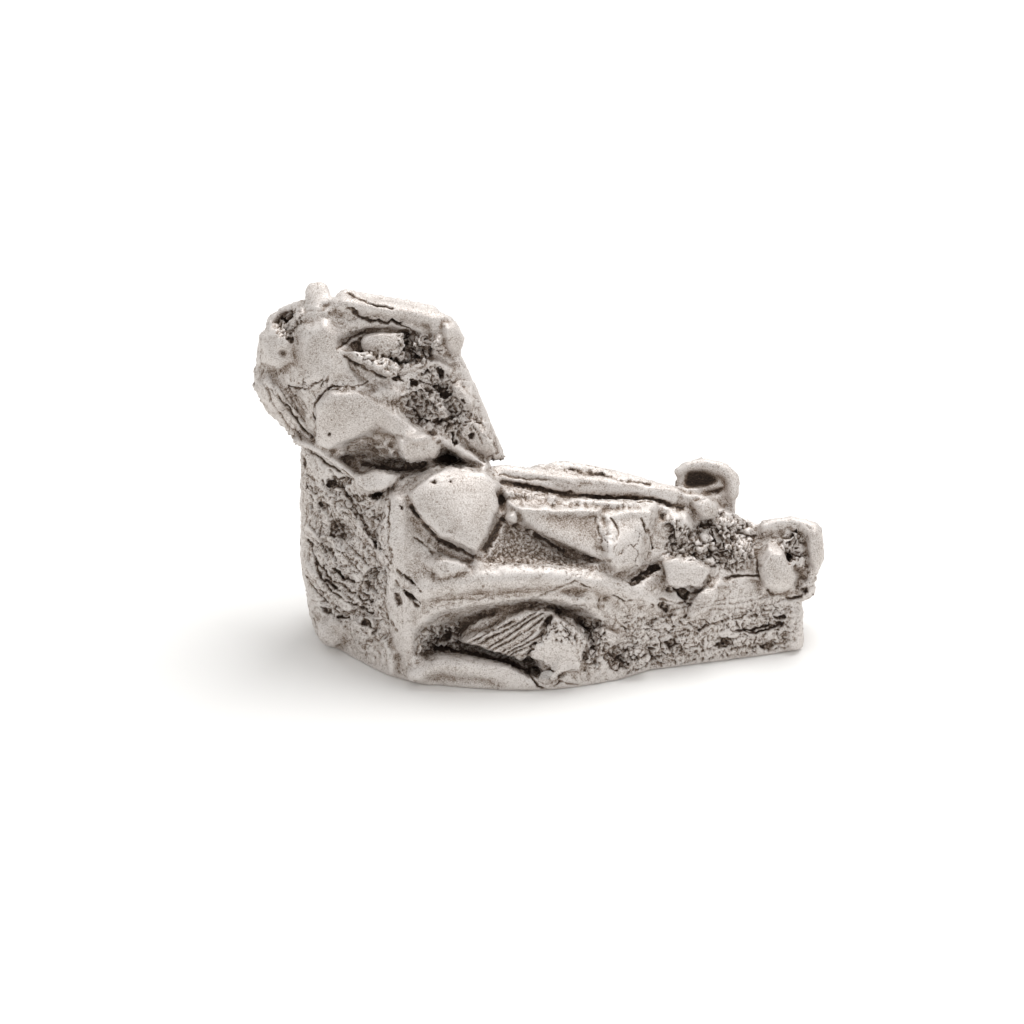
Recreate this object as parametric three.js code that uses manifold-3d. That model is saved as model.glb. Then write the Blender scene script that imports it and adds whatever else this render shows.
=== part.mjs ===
// A meteorite: one lump of pitted grey metal, with a tall head over a neck at the left and a long low arm
// to the right. Millimetres, +Z up, X along the stone's length, -Y towards the front, origin under the middle
// of its box, on its flat base.
import * as THREE from 'three';
import { ConvexGeometry } from 'three/addons/geometries/ConvexGeometry.js';
import { SimplexNoise } from 'three/addons/math/SimplexNoise.js';
import { MeshSurfaceSampler } from 'three/addons/math/MeshSurfaceSampler.js';
import { mergeVertices } from 'three/addons/utils/BufferGeometryUtils.js';
import Module from 'manifold-3d';

// Driving dimensions.
const LENGTH = 60; // overall, along X
const VIEW_TILT = THREE.MathUtils.degToRad( 30 ); // the front picture looks down on the stone by this angle

// The front picture that the stone is laid out on: pixel columns of its two ends, row of its foremost foot.
const LEFT_COLUMN = 253;
const RIGHT_COLUMN = 826;
const FOOT_ROW = 692;
const MIDDLE_COLUMN = ( LEFT_COLUMN + RIGHT_COLUMN ) / 2;
const MM_PER_PIXEL = LENGTH / ( RIGHT_COLUMN - LEFT_COLUMN );

// The picture's axes in the stone's frame.
const RIGHT = new THREE.Vector3( 1, 0, 0 );
const UP = new THREE.Vector3( 0, Math.sin( VIEW_TILT ), Math.cos( VIEW_TILT ) );
const INTO = new THREE.Vector3( 0, Math.cos( VIEW_TILT ), - Math.sin( VIEW_TILT ) );
const PICTURE_TURN = new THREE.Matrix4().makeBasis( RIGHT, INTO, UP );
const BACK_TURN = new THREE.Matrix4().makeRotationZ( Math.PI );

const FAR = 200; // starts a sight line well outside the stone
const SUNK_FLOOR = - 2; // the blocks reach this far below the base before it is cut flat
const NOISE_SEED = 11;
const METAL = { color: 0xb9b2aa, roughness: 0.5, metalness: 0.85 };

THREE.MathUtils.seededRandom( NOISE_SEED );
const chance = () => THREE.MathUtils.seededRandom();
const noise = new SimplexNoise( { random: chance } );

const wasm = await Module();
wasm.setup();

// Solids: geometry to manifold and back.

function toSolid( geometry ) {

	const bare = new THREE.BufferGeometry().setAttribute( 'position', geometry.getAttribute( 'position' ) );
	if ( geometry.index ) bare.setIndex( geometry.index );
	const merged = mergeVertices( bare, 1e-4 );
	return new wasm.Manifold( new wasm.Mesh( {
		numProp: 3,
		vertProperties: merged.attributes.position.array,
		triVerts: new Uint32Array( merged.index.array ),
	} ) );

}

function toGeometry( solid ) {

	const mesh = solid.getMesh();
	const geometry = new THREE.BufferGeometry();
	geometry.setAttribute( 'position', new THREE.BufferAttribute( mesh.vertProperties, 3 ) );
	geometry.setIndex( new THREE.BufferAttribute( mesh.triVerts, 1 ) );
	return geometry;

}

const join = ( solids ) => solids.reduce( ( whole, solid ) => whole.add( solid ) );
const carve = ( body, solids ) => solids.reduce( ( whole, solid ) => whole.subtract( solid ), body );
const hull = ( points ) => toSolid( new ConvexGeometry( points ) );

// A hull whose flat faces are broken up: corners are added here and there, each a little proud of its face.

const CORNER_AREA = 42; // of hull surface for each added corner
const CORNER_PROUD = { least: 0.15, most: 0.5 };

function chippedHull( points ) {

	const plain = new THREE.Mesh( new ConvexGeometry( points ) );
	const sampler = new MeshSurfaceSampler( plain ).setRandomGenerator( chance ).build();
	const count = Math.round( sampler.distribution.at( - 1 ) / CORNER_AREA );
	const corners = Array.from( { length: count }, () => {

		const corner = new THREE.Vector3();
		const normal = new THREE.Vector3();
		sampler.sample( corner, normal );
		const proud = THREE.MathUtils.lerp( CORNER_PROUD.least, CORNER_PROUD.most, chance() );
		return corner.addScaledVector( normal, proud );

	} );

	return hull( [ ...points, ...corners ] );

}

// Places: a picture pixel with its distance behind the foremost foot, or a point of the base.

function seen( column, row, back ) {

	const rise = ( FOOT_ROW - row ) * MM_PER_PIXEL;
	const height = ( rise - back * Math.sin( VIEW_TILT ) ) / Math.cos( VIEW_TILT );
	return new THREE.Vector3( ( column - MIDDLE_COLUMN ) * MM_PER_PIXEL, back, height );

}

const spot = ( x, back, height ) => new THREE.Vector3( x, back, height );
const foot = ( x, back ) => spot( x, back, SUNK_FLOOR );

// Blocks: the convex masses that the stone is made up of.

const ARM = chippedHull( [
	foot( - 13.5, 1.6 ), foot( - 8, 0.5 ), foot( - 2, 0 ), foot( 2, 0 ), foot( 6, 1.1 ), foot( 10, 3 ),
	foot( 12.5, 4.4 ),
	seen( 425, 582, 1.4 ), seen( 480, 578, 0.9 ), seen( 560, 577, 1 ), seen( 640, 592, 4 ),
	seen( 664, 600, 5.2 ),
	seen( 470, 474, 9 ), seen( 510, 470, 11 ), seen( 600, 476, 11.5 ), seen( 690, 494, 12 ),
	spot( - 6, 17, 15.5 ), spot( 8, 17, 13.5 ), spot( 14, 16.5, 12 ),
	foot( - 10, 18 ), foot( 8, 17.5 ), foot( 14, 17 ),
] );

const TAIL = chippedHull( [
	foot( 9, 3.6 ), foot( 16, 6.2 ), foot( 21, 7.8 ), foot( 25, 8.4 ), foot( 27.2, 8 ),
	seen( 650, 596, 4.8 ), seen( 720, 602, 6.9 ), seen( 803, 608, 9 ), seen( 804, 636, 8.4 ),
	seen( 640, 500, 11 ), seen( 690, 494, 12 ), seen( 738, 517, 12.5 ), seen( 764, 527, 12.2 ),
	seen( 798, 555, 11.5 ),
	spot( 10, 16.5, 12.5 ), spot( 18, 16.5, 11.5 ), spot( 26, 15.5, 8 ),
	foot( 10, 17 ), foot( 20, 16.5 ), foot( 26, 14.5 ),
] );

const SHOULDER = chippedHull( [
	foot( - 14.8, 2.4 ), foot( - 12, 1.2 ), foot( - 8, 1.5 ), foot( - 10, 8 ),
	seen( 391, 620, 2.8 ), seen( 386, 560, 3.6 ), seen( 387, 510, 4.8 ), seen( 400, 482, 6.4 ),
	seen( 430, 468, 7.6 ),
	seen( 470, 466, 8.6 ), seen( 503, 474, 9.6 ), seen( 430, 584, 1 ), seen( 482, 560, 3 ),
	spot( - 14, 12, 16 ), spot( - 6, 13, 16 ),
] );

const NECK = chippedHull( [
	foot( - 14.5, 2 ), foot( - 16.8, 4 ), foot( - 19.2, 7.4 ), foot( - 21.4, 9.2 ), foot( - 23, 10.6 ),
	foot( - 22.8, 14 ), foot( - 20, 18 ), foot( - 8, 18.5 ), foot( - 4, 12 ),
	seen( 317, 614, 11.8 ), seen( 304, 590, 12.5 ), seen( 299, 560, 13 ), seen( 302, 520, 13 ),
	seen( 306, 480, 13 ),
	seen( 302, 448, 12.5 ), seen( 392, 498, 5.8 ), seen( 392, 600, 3.6 ), seen( 440, 468, 8 ),
	spot( - 23.5, 18, 12 ), spot( - 9, 19.5, 13 ), spot( - 6, 18, 19 ), spot( - 22, 19, 24 ),
] );

const HEAD = chippedHull( [
	seen( 262, 338, 14 ), seen( 284, 314, 15 ), seen( 255, 392, 13 ), seen( 266, 410, 12.6 ),
	seen( 288, 430, 12 ),
	seen( 306, 450, 10.5 ), seen( 300, 320, 12 ), seen( 322, 308, 11.5 ), seen( 345, 302, 12 ),
	seen( 440, 315, 13 ),
	seen( 455, 338, 13 ), seen( 320, 370, 8.8 ), seen( 405, 400, 9 ), seen( 482, 406, 12.5 ),
	seen( 497, 436, 12.2 ),
	seen( 508, 461, 11.5 ), seen( 360, 462, 8.4 ), seen( 430, 462, 8.8 ),
	spot( - 27.5, 18, 31.5 ), spot( - 24, 19.5, 34 ), spot( - 12, 19.5, 33 ), spot( - 8.5, 18, 28 ),
	spot( - 4.5, 16.5, 18.5 ), spot( - 27, 18.5, 25 ), spot( - 14, 20.5, 25 ), spot( - 13, 19, 19 ),
	spot( - 22, 18.5, 21 ),
] );

const END = chippedHull( [
	seen( 757, 529, 12 ), seen( 788, 521, 12 ), seen( 818, 528, 11.5 ), seen( 824, 548, 11 ),
	seen( 816, 576, 10 ),
	seen( 812, 594, 9.6 ), seen( 802, 602, 9.2 ), seen( 768, 592, 8.6 ), seen( 757, 560, 9.8 ),
	spot( 22, 16, 10.5 ), spot( 28, 15.5, 11 ), spot( 28.5, 15, 5 ), spot( 22, 16.5, 3 ),
] );

const CAP = chippedHull( [
	seen( 677, 484, 13.5 ), seen( 684, 468, 14.5 ), seen( 705, 463, 15 ), seen( 730, 470, 15 ),
	seen( 737, 482, 14.5 ),
	seen( 737, 512, 13 ), seen( 690, 500, 12.5 ),
	spot( 14, 17, 12 ), spot( 20.5, 16.5, 10 ), spot( 20, 17.5, 15 ), spot( 15, 18, 15.5 ),
] );

const MASS = join( [ ARM, TAIL, SHOULDER, NECK, HEAD, END, CAP ] );

// Sight lines: where a line of sight, from the front or from straight behind, meets the joined blocks.

const bothSides = new THREE.MeshBasicMaterial( { side: THREE.DoubleSide } );
const massMesh = new THREE.Mesh( toGeometry( MASS ), bothSides );
massMesh.geometry.computeVertexNormals();
const sight = new THREE.Raycaster();

function firstHit( from, along ) {

	sight.set( from.clone().addScaledVector( along, - FAR ), along );
	const hits = sight.intersectObject( massMesh );
	return hits.length ? hits[ 0 ].point : from;

}

const FRONT = {
	along: INTO,
	turn: PICTURE_TURN,
	start: ( column, row ) => seen( column, row, 10 ),
};

const BEHIND = {
	along: new THREE.Vector3( 0, - 1, 0 ),
	turn: BACK_TURN,
	start: ( x, height ) => spot( x, 10, height ),
};

function seat( side, place ) {

	if ( place.isVector3 ) return place;
	const [ across, up, sink = 0 ] = place;
	return firstHit( side.start( across, up ), side.along ).addScaledVector( side.along, sink );

}

// Features: what stands on the blocks or is carved out of them.

const LUMP_ROUGHNESS = 0.16;

function lump( { at, radii, roll = 0, detail = 1, side = FRONT } ) {

	const place = seat( side, at );
	const geometry = new THREE.IcosahedronGeometry( 1, detail );
	const position = geometry.getAttribute( 'position' );
	const point = new THREE.Vector3();

	for ( let i = 0; i < position.count; i ++ ) {

		point.fromBufferAttribute( position, i );
		const { x, y, z } = point.clone().add( place );
		const swell = 1 + LUMP_ROUGHNESS * noise.noise3d( x, y, z );
		position.setXYZ( i, point.x * swell, point.y * swell, point.z * swell );

	}

	geometry.scale( ...radii ).rotateY( THREE.MathUtils.degToRad( roll ) ).applyMatrix4( side.turn );
	return toSolid( geometry.translate( place.x, place.y, place.z ) );

}

function middle( points ) {

	const sum = points.reduce( ( total, point ) => total.add( point ), new THREE.Vector3() );
	return sum.divideScalar( points.length );

}

function scaledAbout( points, centre, factor ) {

	return points.map( ( point ) => point.clone().sub( centre ).multiplyScalar( factor ).add( centre ) );

}

function moved( points, along, distance ) {

	return points.map( ( point ) => point.clone().addScaledVector( along, distance ) );

}

const SLAB_ROOT = 1.6; // how far a slab is rooted in the block under it
const SLAB_FLARE = 1.12;
const SLAB_STEPS = [ { rise: 0.5, width: 1 }, { rise: 1, width: 0.78 } ];
const DOME_STEPS = [ { rise: 0.35, width: 1 }, { rise: 0.75, width: 0.86 }, { rise: 1, width: 0.6 } ];

function slab( { outline, proud, crown = 0.2, steps = SLAB_STEPS, side = FRONT } ) {

	const rim = outline.map( ( corner ) => seat( side, corner ) );
	const centre = middle( rim );
	const ring = ( { rise, width } ) => moved( scaledAbout( rim, centre, width ), side.along, - proud * rise );
	return hull( [
		...steps.flatMap( ring ),
		...moved( scaledAbout( rim, centre, SLAB_FLARE ), side.along, SLAB_ROOT ),
		centre.clone().addScaledVector( side.along, - proud - crown ),
	] );

}

const MOUTH_LIP = 3.5; // how far a hollow's cutter stands out in front of the surface
const MOUTH_FLARE = 1.1;
const SMALL_PIT = 5; // outlines of up to this many corners are cut as plain pits
const CAVE_STEPS = [ { sink: 1, width: 0.74 } ];
const PIT_STEPS = [ { sink: 1, width: 0.55 } ];
const BOWL_STEPS = [ { sink: 0.65, width: 0.8 }, { sink: 1, width: 0.45 } ];

function hollow( { outline, deep, steps, side = FRONT } ) {

	const usual = outline.length > SMALL_PIT ? BOWL_STEPS : PIT_STEPS;
	const rim = outline.map( ( corner ) => seat( side, corner ) );
	const centre = middle( rim );
	const ring = ( { sink, width } ) => moved( scaledAbout( rim, centre, width ), side.along, deep * sink );
	return hull( [
		...moved( scaledAbout( rim, centre, MOUTH_FLARE ), side.along, - MOUTH_LIP ),
		...rim,
		...( steps ?? usual ).flatMap( ring ),
	] );

}

const THIN_LIMB = 1.4; // limbs under this radius get coarse ends
const FINE_BEAD = new THREE.IcosahedronGeometry( 1, 1 );
const COARSE_BEAD = new THREE.IcosahedronGeometry( 1, 0 );

function bead( centre, radius ) {

	const position = ( radius < THIN_LIMB ? COARSE_BEAD : FINE_BEAD ).getAttribute( 'position' );
	const points = [];
	for ( let i = 0; i < position.count; i ++ ) {

		const point = new THREE.Vector3().fromBufferAttribute( position, i );
		points.push( point.multiplyScalar( radius ).add( centre ) );

	}

	return points;

}

function limb( { path, radii, side = FRONT } ) {

	const beads = path.map( ( corner, i ) => bead( seat( side, corner ), radii[ i ] ) );
	const spans = beads.slice( 1 ).map( ( points, i ) => hull( [ ...beads[ i ], ...points ] ) );
	return join( spans );

}

// What stands on the blocks.

const HEAD_FORMS = [
	// Ear, its rim, the left lobe, the crown knob, the top ledge and the beak, round the outline.
	slab( {
		outline: [ [ 264, 338 ], [ 276, 330 ], [ 292, 342 ], [ 293, 362 ], [ 278, 371 ], [ 264, 362 ] ],
		proud: 1,
		steps: DOME_STEPS,
	} ),
	slab( {
		outline: [ [ 259, 382 ], [ 271, 374 ], [ 286, 392 ], [ 284, 413 ], [ 269, 409 ] ],
		proud: 0.9,
		steps: DOME_STEPS,
	} ),
	limb( {
		path: [ seen( 273, 325, 14.4 ), seen( 288, 313, 15 ), seen( 308, 309, 14 ) ],
		radii: [ 0.7, 0.6, 0.7 ],
	} ),
	chippedHull( [
		seen( 308, 300, 12.6 ), seen( 310, 289, 13.4 ), seen( 318, 285, 13.8 ), seen( 329, 287, 13.6 ),
		seen( 334, 296, 13 ), seen( 330, 305, 12.2 ), seen( 310, 309, 12.2 ), seen( 312, 293, 15.6 ),
		seen( 329, 291, 15.8 ), seen( 320, 305, 16 ),
	] ),
	limb( {
		path: [ [ 348, 308, 0.3 ], [ 396, 315, 0.3 ], [ 440, 322, 0.3 ] ],
		radii: [ 0.9, 0.9, 0.8 ],
	} ),
	limb( {
		path: [ seen( 346, 299, 13.3 ), seen( 396, 307, 13.8 ), seen( 436, 315, 13.8 ) ],
		radii: [ 0.7, 0.75, 0.7 ],
	} ),
	chippedHull( [
		seen( 436, 316, 13 ), seen( 454, 320, 13.4 ), seen( 465, 334, 13 ), seen( 466, 348, 12.6 ),
		seen( 454, 357, 12.2 ), seen( 438, 352, 11.4 ), seen( 432, 334, 11.6 ), seen( 448, 336, 11.2 ),
		seen( 440, 322, 16 ), seen( 460, 332, 15.6 ), seen( 458, 352, 15.4 ),
	] ),
	// Brow from the crown down to the strap, with the cheek below it, and the jaw.
	slab( {
		outline: [ [ 302, 332 ], [ 328, 322 ], [ 346, 340 ], [ 354, 376 ], [ 336, 396 ], [ 308, 386 ] ],
		proud: 0.8,
	} ),
	slab( {
		outline: [
			[ 332, 386 ], [ 354, 376 ], [ 388, 404 ], [ 416, 424 ], [ 442, 446 ], [ 404, 438 ],
			[ 358, 414 ],
		],
		proud: 1,
	} ),
	slab( {
		outline: [
			[ 318, 404 ], [ 334, 391 ], [ 360, 396 ], [ 380, 418 ], [ 374, 442 ], [ 346, 452 ],
			[ 323, 448 ], [ 315, 430 ],
		],
		proud: 1.8,
		steps: DOME_STEPS,
	} ),
	slab( {
		outline: [ [ 396, 428 ], [ 424, 432 ], [ 444, 446 ], [ 432, 458 ], [ 408, 464 ], [ 396, 450 ] ],
		proud: 1.6,
		steps: DOME_STEPS,
	} ),
	slab( {
		outline: [ [ 355, 478 ], [ 378, 471 ], [ 401, 472 ], [ 396, 485 ], [ 372, 494 ], [ 359, 490 ] ],
		proud: 1.6,
		steps: DOME_STEPS,
	} ),
	limb( {
		path: [ [ 297, 441, 0.1 ], [ 320, 450, 0 ], [ 357, 477, 0 ], [ 368, 498, 0.2 ] ],
		radii: [ 0.5, 0.5, 0.6, 0.4 ],
	} ),
	limb( {
		path: [ [ 436, 436, 0.3 ], [ 460, 450, 0.2 ], [ 488, 468, 0.2 ] ],
		radii: [ 0.7, 0.8, 0.7 ],
	} ),
	// Scabs of the right flank.
	lump( { at: [ 464, 396, 0.5 ], radii: [ 1, 1, 1.5 ], roll: - 35 } ),
	lump( { at: [ 482, 434, 0.6 ], radii: [ 1.1, 1.2, 2.2 ], roll: - 30 } ),
	lump( { at: [ 438, 366, 0.6 ], radii: [ 1.6, 1.1, 1 ], roll: 15 } ),
];

const NECK_FORMS = [
	lump( { at: [ 332, 631, 0.7 ], radii: [ 1.6, 1.6, 1.9 ] } ),
	lump( { at: [ 364, 627, 0.6 ], radii: [ 1.4, 1.3, 1.7 ], roll: 10 } ),
	lump( { at: [ 390, 654, 0.5 ], radii: [ 1.1, 1.3, 2.3 ], roll: - 10 } ),
	limb( {
		path: [ [ 346, 500, 0.1 ], [ 362, 526, 0.1 ], [ 384, 558, 0.2 ] ],
		radii: [ 0.5, 0.65, 0.5 ],
	} ),
	limb( {
		path: [ [ 308, 528, 0.4 ], [ 324, 536, 0.2 ], [ 350, 554, 0.3 ] ],
		radii: [ 0.7, 0.8, 0.7 ],
	} ),
	limb( {
		path: [ [ 312, 566, 0.4 ], [ 330, 586, 0.3 ], [ 354, 602, 0.4 ] ],
		radii: [ 0.8, 0.9, 0.7 ],
	} ),
];

const SHOULDER_FORMS = [
	// Pebble on the shoulder, and the column that carries it.
	slab( {
		outline: [
			[ 407, 492 ], [ 426, 475 ], [ 452, 466 ], [ 484, 470 ], [ 502, 488 ], [ 497, 512 ],
			[ 488, 536 ], [ 477, 554 ], [ 464, 546 ], [ 440, 538 ], [ 420, 518 ],
		],
		proud: 2,
		crown: 0.3,
		steps: DOME_STEPS,
	} ),
	limb( {
		path: [ [ 400, 504, 1 ], [ 398, 545, 1.3 ], [ 404, 596, 1.3 ], [ 411, 640, 1.3 ] ],
		radii: [ 1.6, 2, 1.9, 1.7 ],
	} ),
	slab( {
		outline: [ [ 424, 562 ], [ 442, 552 ], [ 468, 560 ], [ 470, 572 ], [ 440, 578 ] ],
		proud: 0.7,
	} ),
];

const ARM_FORMS = [
	// Rod and plank along the ridge, with the knob at the rod's end and the cap's raised rim.
	limb( {
		path: [ [ 500, 473, 0.5 ], [ 560, 482, 0.4 ], [ 620, 488, 0.4 ], [ 700, 500, 0.4 ] ],
		radii: [ 0.9, 1, 1.05, 1.2 ],
	} ),
	limb( {
		path: [
			seen( 536, 471, 11.5 ), seen( 566, 468, 12 ), seen( 612, 476, 12.3 ),
			seen( 656, 486, 12.5 ),
		],
		radii: [ 0.6, 0.7, 0.7, 0.5 ],
	} ),
	slab( {
		outline: [ [ 692, 502 ], [ 706, 494 ], [ 718, 503 ], [ 714, 518 ], [ 700, 520 ] ],
		proud: 1.2,
		steps: DOME_STEPS,
	} ),
	limb( {
		path: [
			seen( 678, 474, 14 ), seen( 690, 467, 14.5 ), seen( 706, 465, 14.7 ),
			seen( 724, 470, 14.6 ), seen( 734, 481, 14 ), seen( 734, 496, 13 ),
		],
		radii: [ 0.55, 0.65, 0.75, 0.85, 0.85, 0.8 ],
	} ),
	// Beam below the rod: a lit upper edge over a sunken face, ending in a blunt block.
	limb( {
		path: [ [ 510, 507, 0.3 ], [ 560, 509, 0.2 ], [ 612, 510, 0.2 ], [ 650, 509, 0.2 ] ],
		radii: [ 0.9, 1, 1.1, 1.15 ],
	} ),
	slab( {
		outline: [ [ 516, 512 ], [ 605, 512 ], [ 612, 552 ], [ 588, 556 ], [ 556, 546 ] ],
		proud: 0.3,
		crown: 0,
	} ),
	slab( {
		outline: [
			[ 600, 512 ], [ 626, 506 ], [ 652, 506 ], [ 657, 518 ], [ 645, 540 ], [ 643, 566 ],
			[ 615, 573 ], [ 600, 558 ],
		],
		proud: 1,
		crown: 0.3,
	} ),
	lump( { at: [ 512, 519, 0 ], radii: [ 0.75, 0.75, 0.7 ] } ),
	// Lip between the arm's top and its front face.
	limb( {
		path: [
			[ 428, 588, 1.1 ], [ 480, 578, 1.1 ], [ 545, 576, 1.1 ], [ 604, 584, 1.2 ], [ 656, 600, 1 ],
		],
		radii: [ 1.6, 1.6, 1.6, 1.6, 1.2 ],
	} ),
	// Crumbs, chunk and teardrop towards the end.
	slab( {
		outline: [ [ 664, 560 ], [ 690, 556 ], [ 712, 570 ], [ 700, 588 ], [ 668, 584 ] ],
		proud: 1,
	} ),
	limb( {
		path: [ [ 718, 586, 0.3 ], [ 704, 602, 0.2 ], [ 695, 613, 0.4 ] ],
		radii: [ 0.7, 1.1, 1 ],
	} ),
	slab( {
		outline: [ [ 668, 518 ], [ 684, 512 ], [ 696, 522 ], [ 690, 540 ], [ 672, 538 ] ],
		proud: 0.8,
	} ),
	slab( {
		outline: [ [ 716, 522 ], [ 732, 516 ], [ 740, 528 ], [ 730, 542 ], [ 718, 540 ] ],
		proud: 0.8,
	} ),
	slab( { outline: [ [ 686, 542 ], [ 706, 536 ], [ 714, 548 ], [ 700, 556 ] ], proud: 0.7 } ),
	slab( {
		outline: [ [ 726, 548 ], [ 744, 540 ], [ 756, 550 ], [ 748, 566 ], [ 730, 564 ] ],
		proud: 0.8,
	} ),
	slab( {
		outline: [ [ 756, 562 ], [ 768, 544 ], [ 784, 548 ], [ 796, 572 ], [ 788, 592 ], [ 766, 592 ] ],
		proud: 1.3,
		steps: DOME_STEPS,
	} ),
	limb( {
		path: [
			seen( 766, 528, 11.6 ), seen( 792, 523, 11.8 ), seen( 814, 531, 11 ),
			seen( 818, 556, 10.2 ), seen( 813, 576, 10 ),
		],
		radii: [ 0.8, 0.75, 1, 0.95, 0.8 ],
	} ),
	lump( { at: seen( 807, 589, 10.2 ), radii: [ 1.1, 1.4, 1.3 ] } ),
	limb( { path: [ [ 798, 612, 0.7 ], [ 797, 645, 0.7 ] ], radii: [ 0.9, 1.1 ] } ),
];

// What is carved out of them.

const HEAD_HOLLOWS = [
	hollow( {
		outline: [
			[ 338, 347 ], [ 352, 335 ], [ 368, 330 ], [ 402, 332 ], [ 440, 340 ], [ 438, 352 ],
			[ 422, 366 ], [ 384, 372 ], [ 358, 362 ],
		],
		deep: 2.1,
	} ),
	hollow( { outline: [ [ 398, 334 ], [ 412, 330 ], [ 416, 342 ], [ 402, 347 ] ], deep: 2.8 } ),
	hollow( {
		outline: [ [ 386, 366 ], [ 404, 356 ], [ 422, 354 ], [ 420, 368 ], [ 398, 372 ] ],
		deep: 2.5,
	} ),
	hollow( {
		outline: [ [ 274, 328 ], [ 286, 316 ], [ 303, 310 ], [ 301, 322 ], [ 290, 342 ] ],
		deep: 1.6,
	} ),
	hollow( { outline: [ [ 280, 352 ], [ 294, 350 ], [ 295, 362 ], [ 284, 363 ] ], deep: 0.4 } ),
	hollow( { outline: [ [ 321, 310 ], [ 337, 301 ], [ 340, 306 ], [ 326, 315 ] ], deep: 1.2 } ),
	hollow( { outline: [ [ 438, 320 ], [ 448, 320 ], [ 455, 329 ], [ 440, 330 ] ], deep: 0.5 } ),
	hollow( { outline: [ [ 391, 373 ], [ 403, 375 ], [ 404, 382 ], [ 393, 381 ] ], deep: 1 } ),
	hollow( {
		outline: [ [ 408, 400 ], [ 420, 394 ], [ 431, 402 ], [ 433, 418 ], [ 426, 430 ], [ 411, 424 ] ],
		deep: 0.9,
	} ),
	hollow( {
		outline: [ [ 434, 386 ], [ 442, 381 ], [ 451, 388 ], [ 453, 399 ], [ 440, 402 ] ],
		deep: 1.2,
	} ),
	hollow( {
		outline: [ [ 441, 408 ], [ 450, 401 ], [ 461, 404 ], [ 464, 416 ], [ 446, 424 ] ],
		deep: 1,
	} ),
	hollow( { outline: [ [ 432, 420 ], [ 440, 417 ], [ 446, 430 ], [ 436, 432 ] ], deep: 0.8 } ),
	hollow( {
		outline: [ [ 287, 388 ], [ 304, 386 ], [ 313, 412 ], [ 313, 436 ], [ 298, 418 ] ],
		deep: 1.4,
	} ),
	hollow( {
		outline: [
			[ 342, 452 ], [ 354, 440 ], [ 374, 437 ], [ 396, 446 ], [ 398, 460 ], [ 378, 466 ],
			[ 354, 462 ],
		],
		deep: 1.1,
	} ),
	limb( {
		path: [ [ 364, 463, 0 ], [ 390, 468, 0.4 ], [ 424, 466, 0.4 ] ],
		radii: [ 0.5, 0.7, 0.7 ],
	} ),
	hollow( { outline: [ [ 430, 464 ], [ 446, 448 ], [ 465, 463 ], [ 448, 470 ] ], deep: 2.4 } ),
];

const NECK_HOLLOWS = [
	hollow( { outline: [ [ 323, 487 ], [ 333, 477 ], [ 346, 482 ], [ 342, 491 ] ], deep: 1.1 } ),
	hollow( { outline: [ [ 316, 506 ], [ 322, 500 ], [ 331, 508 ], [ 322, 512 ] ], deep: 0.9 } ),
	hollow( {
		outline: [ [ 330, 534 ], [ 336, 517 ], [ 352, 522 ], [ 362, 538 ], [ 348, 544 ] ],
		deep: 1.3,
	} ),
	hollow( { outline: [ [ 371, 492 ], [ 386, 490 ], [ 385, 502 ], [ 374, 501 ] ], deep: 1.1 } ),
	hollow( { outline: [ [ 374, 518 ], [ 386, 508 ], [ 387, 524 ] ], deep: 1.1 } ),
	hollow( { outline: [ [ 317, 543 ], [ 330, 541 ], [ 340, 556 ], [ 331, 561 ] ], deep: 1 } ),
	hollow( { outline: [ [ 330, 567 ], [ 338, 566 ], [ 358, 582 ], [ 350, 588 ] ], deep: 0.9 } ),
	hollow( {
		outline: [ [ 360, 584 ], [ 372, 566 ], [ 389, 563 ], [ 390, 592 ], [ 376, 612 ], [ 364, 606 ] ],
		deep: 1.5,
	} ),
	limb( {
		path: [ [ 309, 586, 0.1 ], [ 326, 602, 0.1 ], [ 349, 616, 0.2 ] ],
		radii: [ 0.45, 0.6, 0.5 ],
	} ),
	limb( {
		path: [ [ 396, 580, - 0.5 ], [ 408, 592, - 0.5 ], [ 419, 606, - 0.4 ] ],
		radii: [ 0.35, 0.6, 0.35 ],
	} ),
];

const SHOULDER_HOLLOWS = [
	limb( {
		path: [ [ 409, 508, - 0.4 ], [ 430, 540, - 0.1 ], [ 470, 560, 0 ] ],
		radii: [ 0.4, 0.7, 0.8 ],
	} ),
	hollow( { outline: [ [ 494, 494 ], [ 501, 486 ], [ 509, 504 ], [ 502, 518 ] ], deep: 1.4 } ),
];

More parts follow.
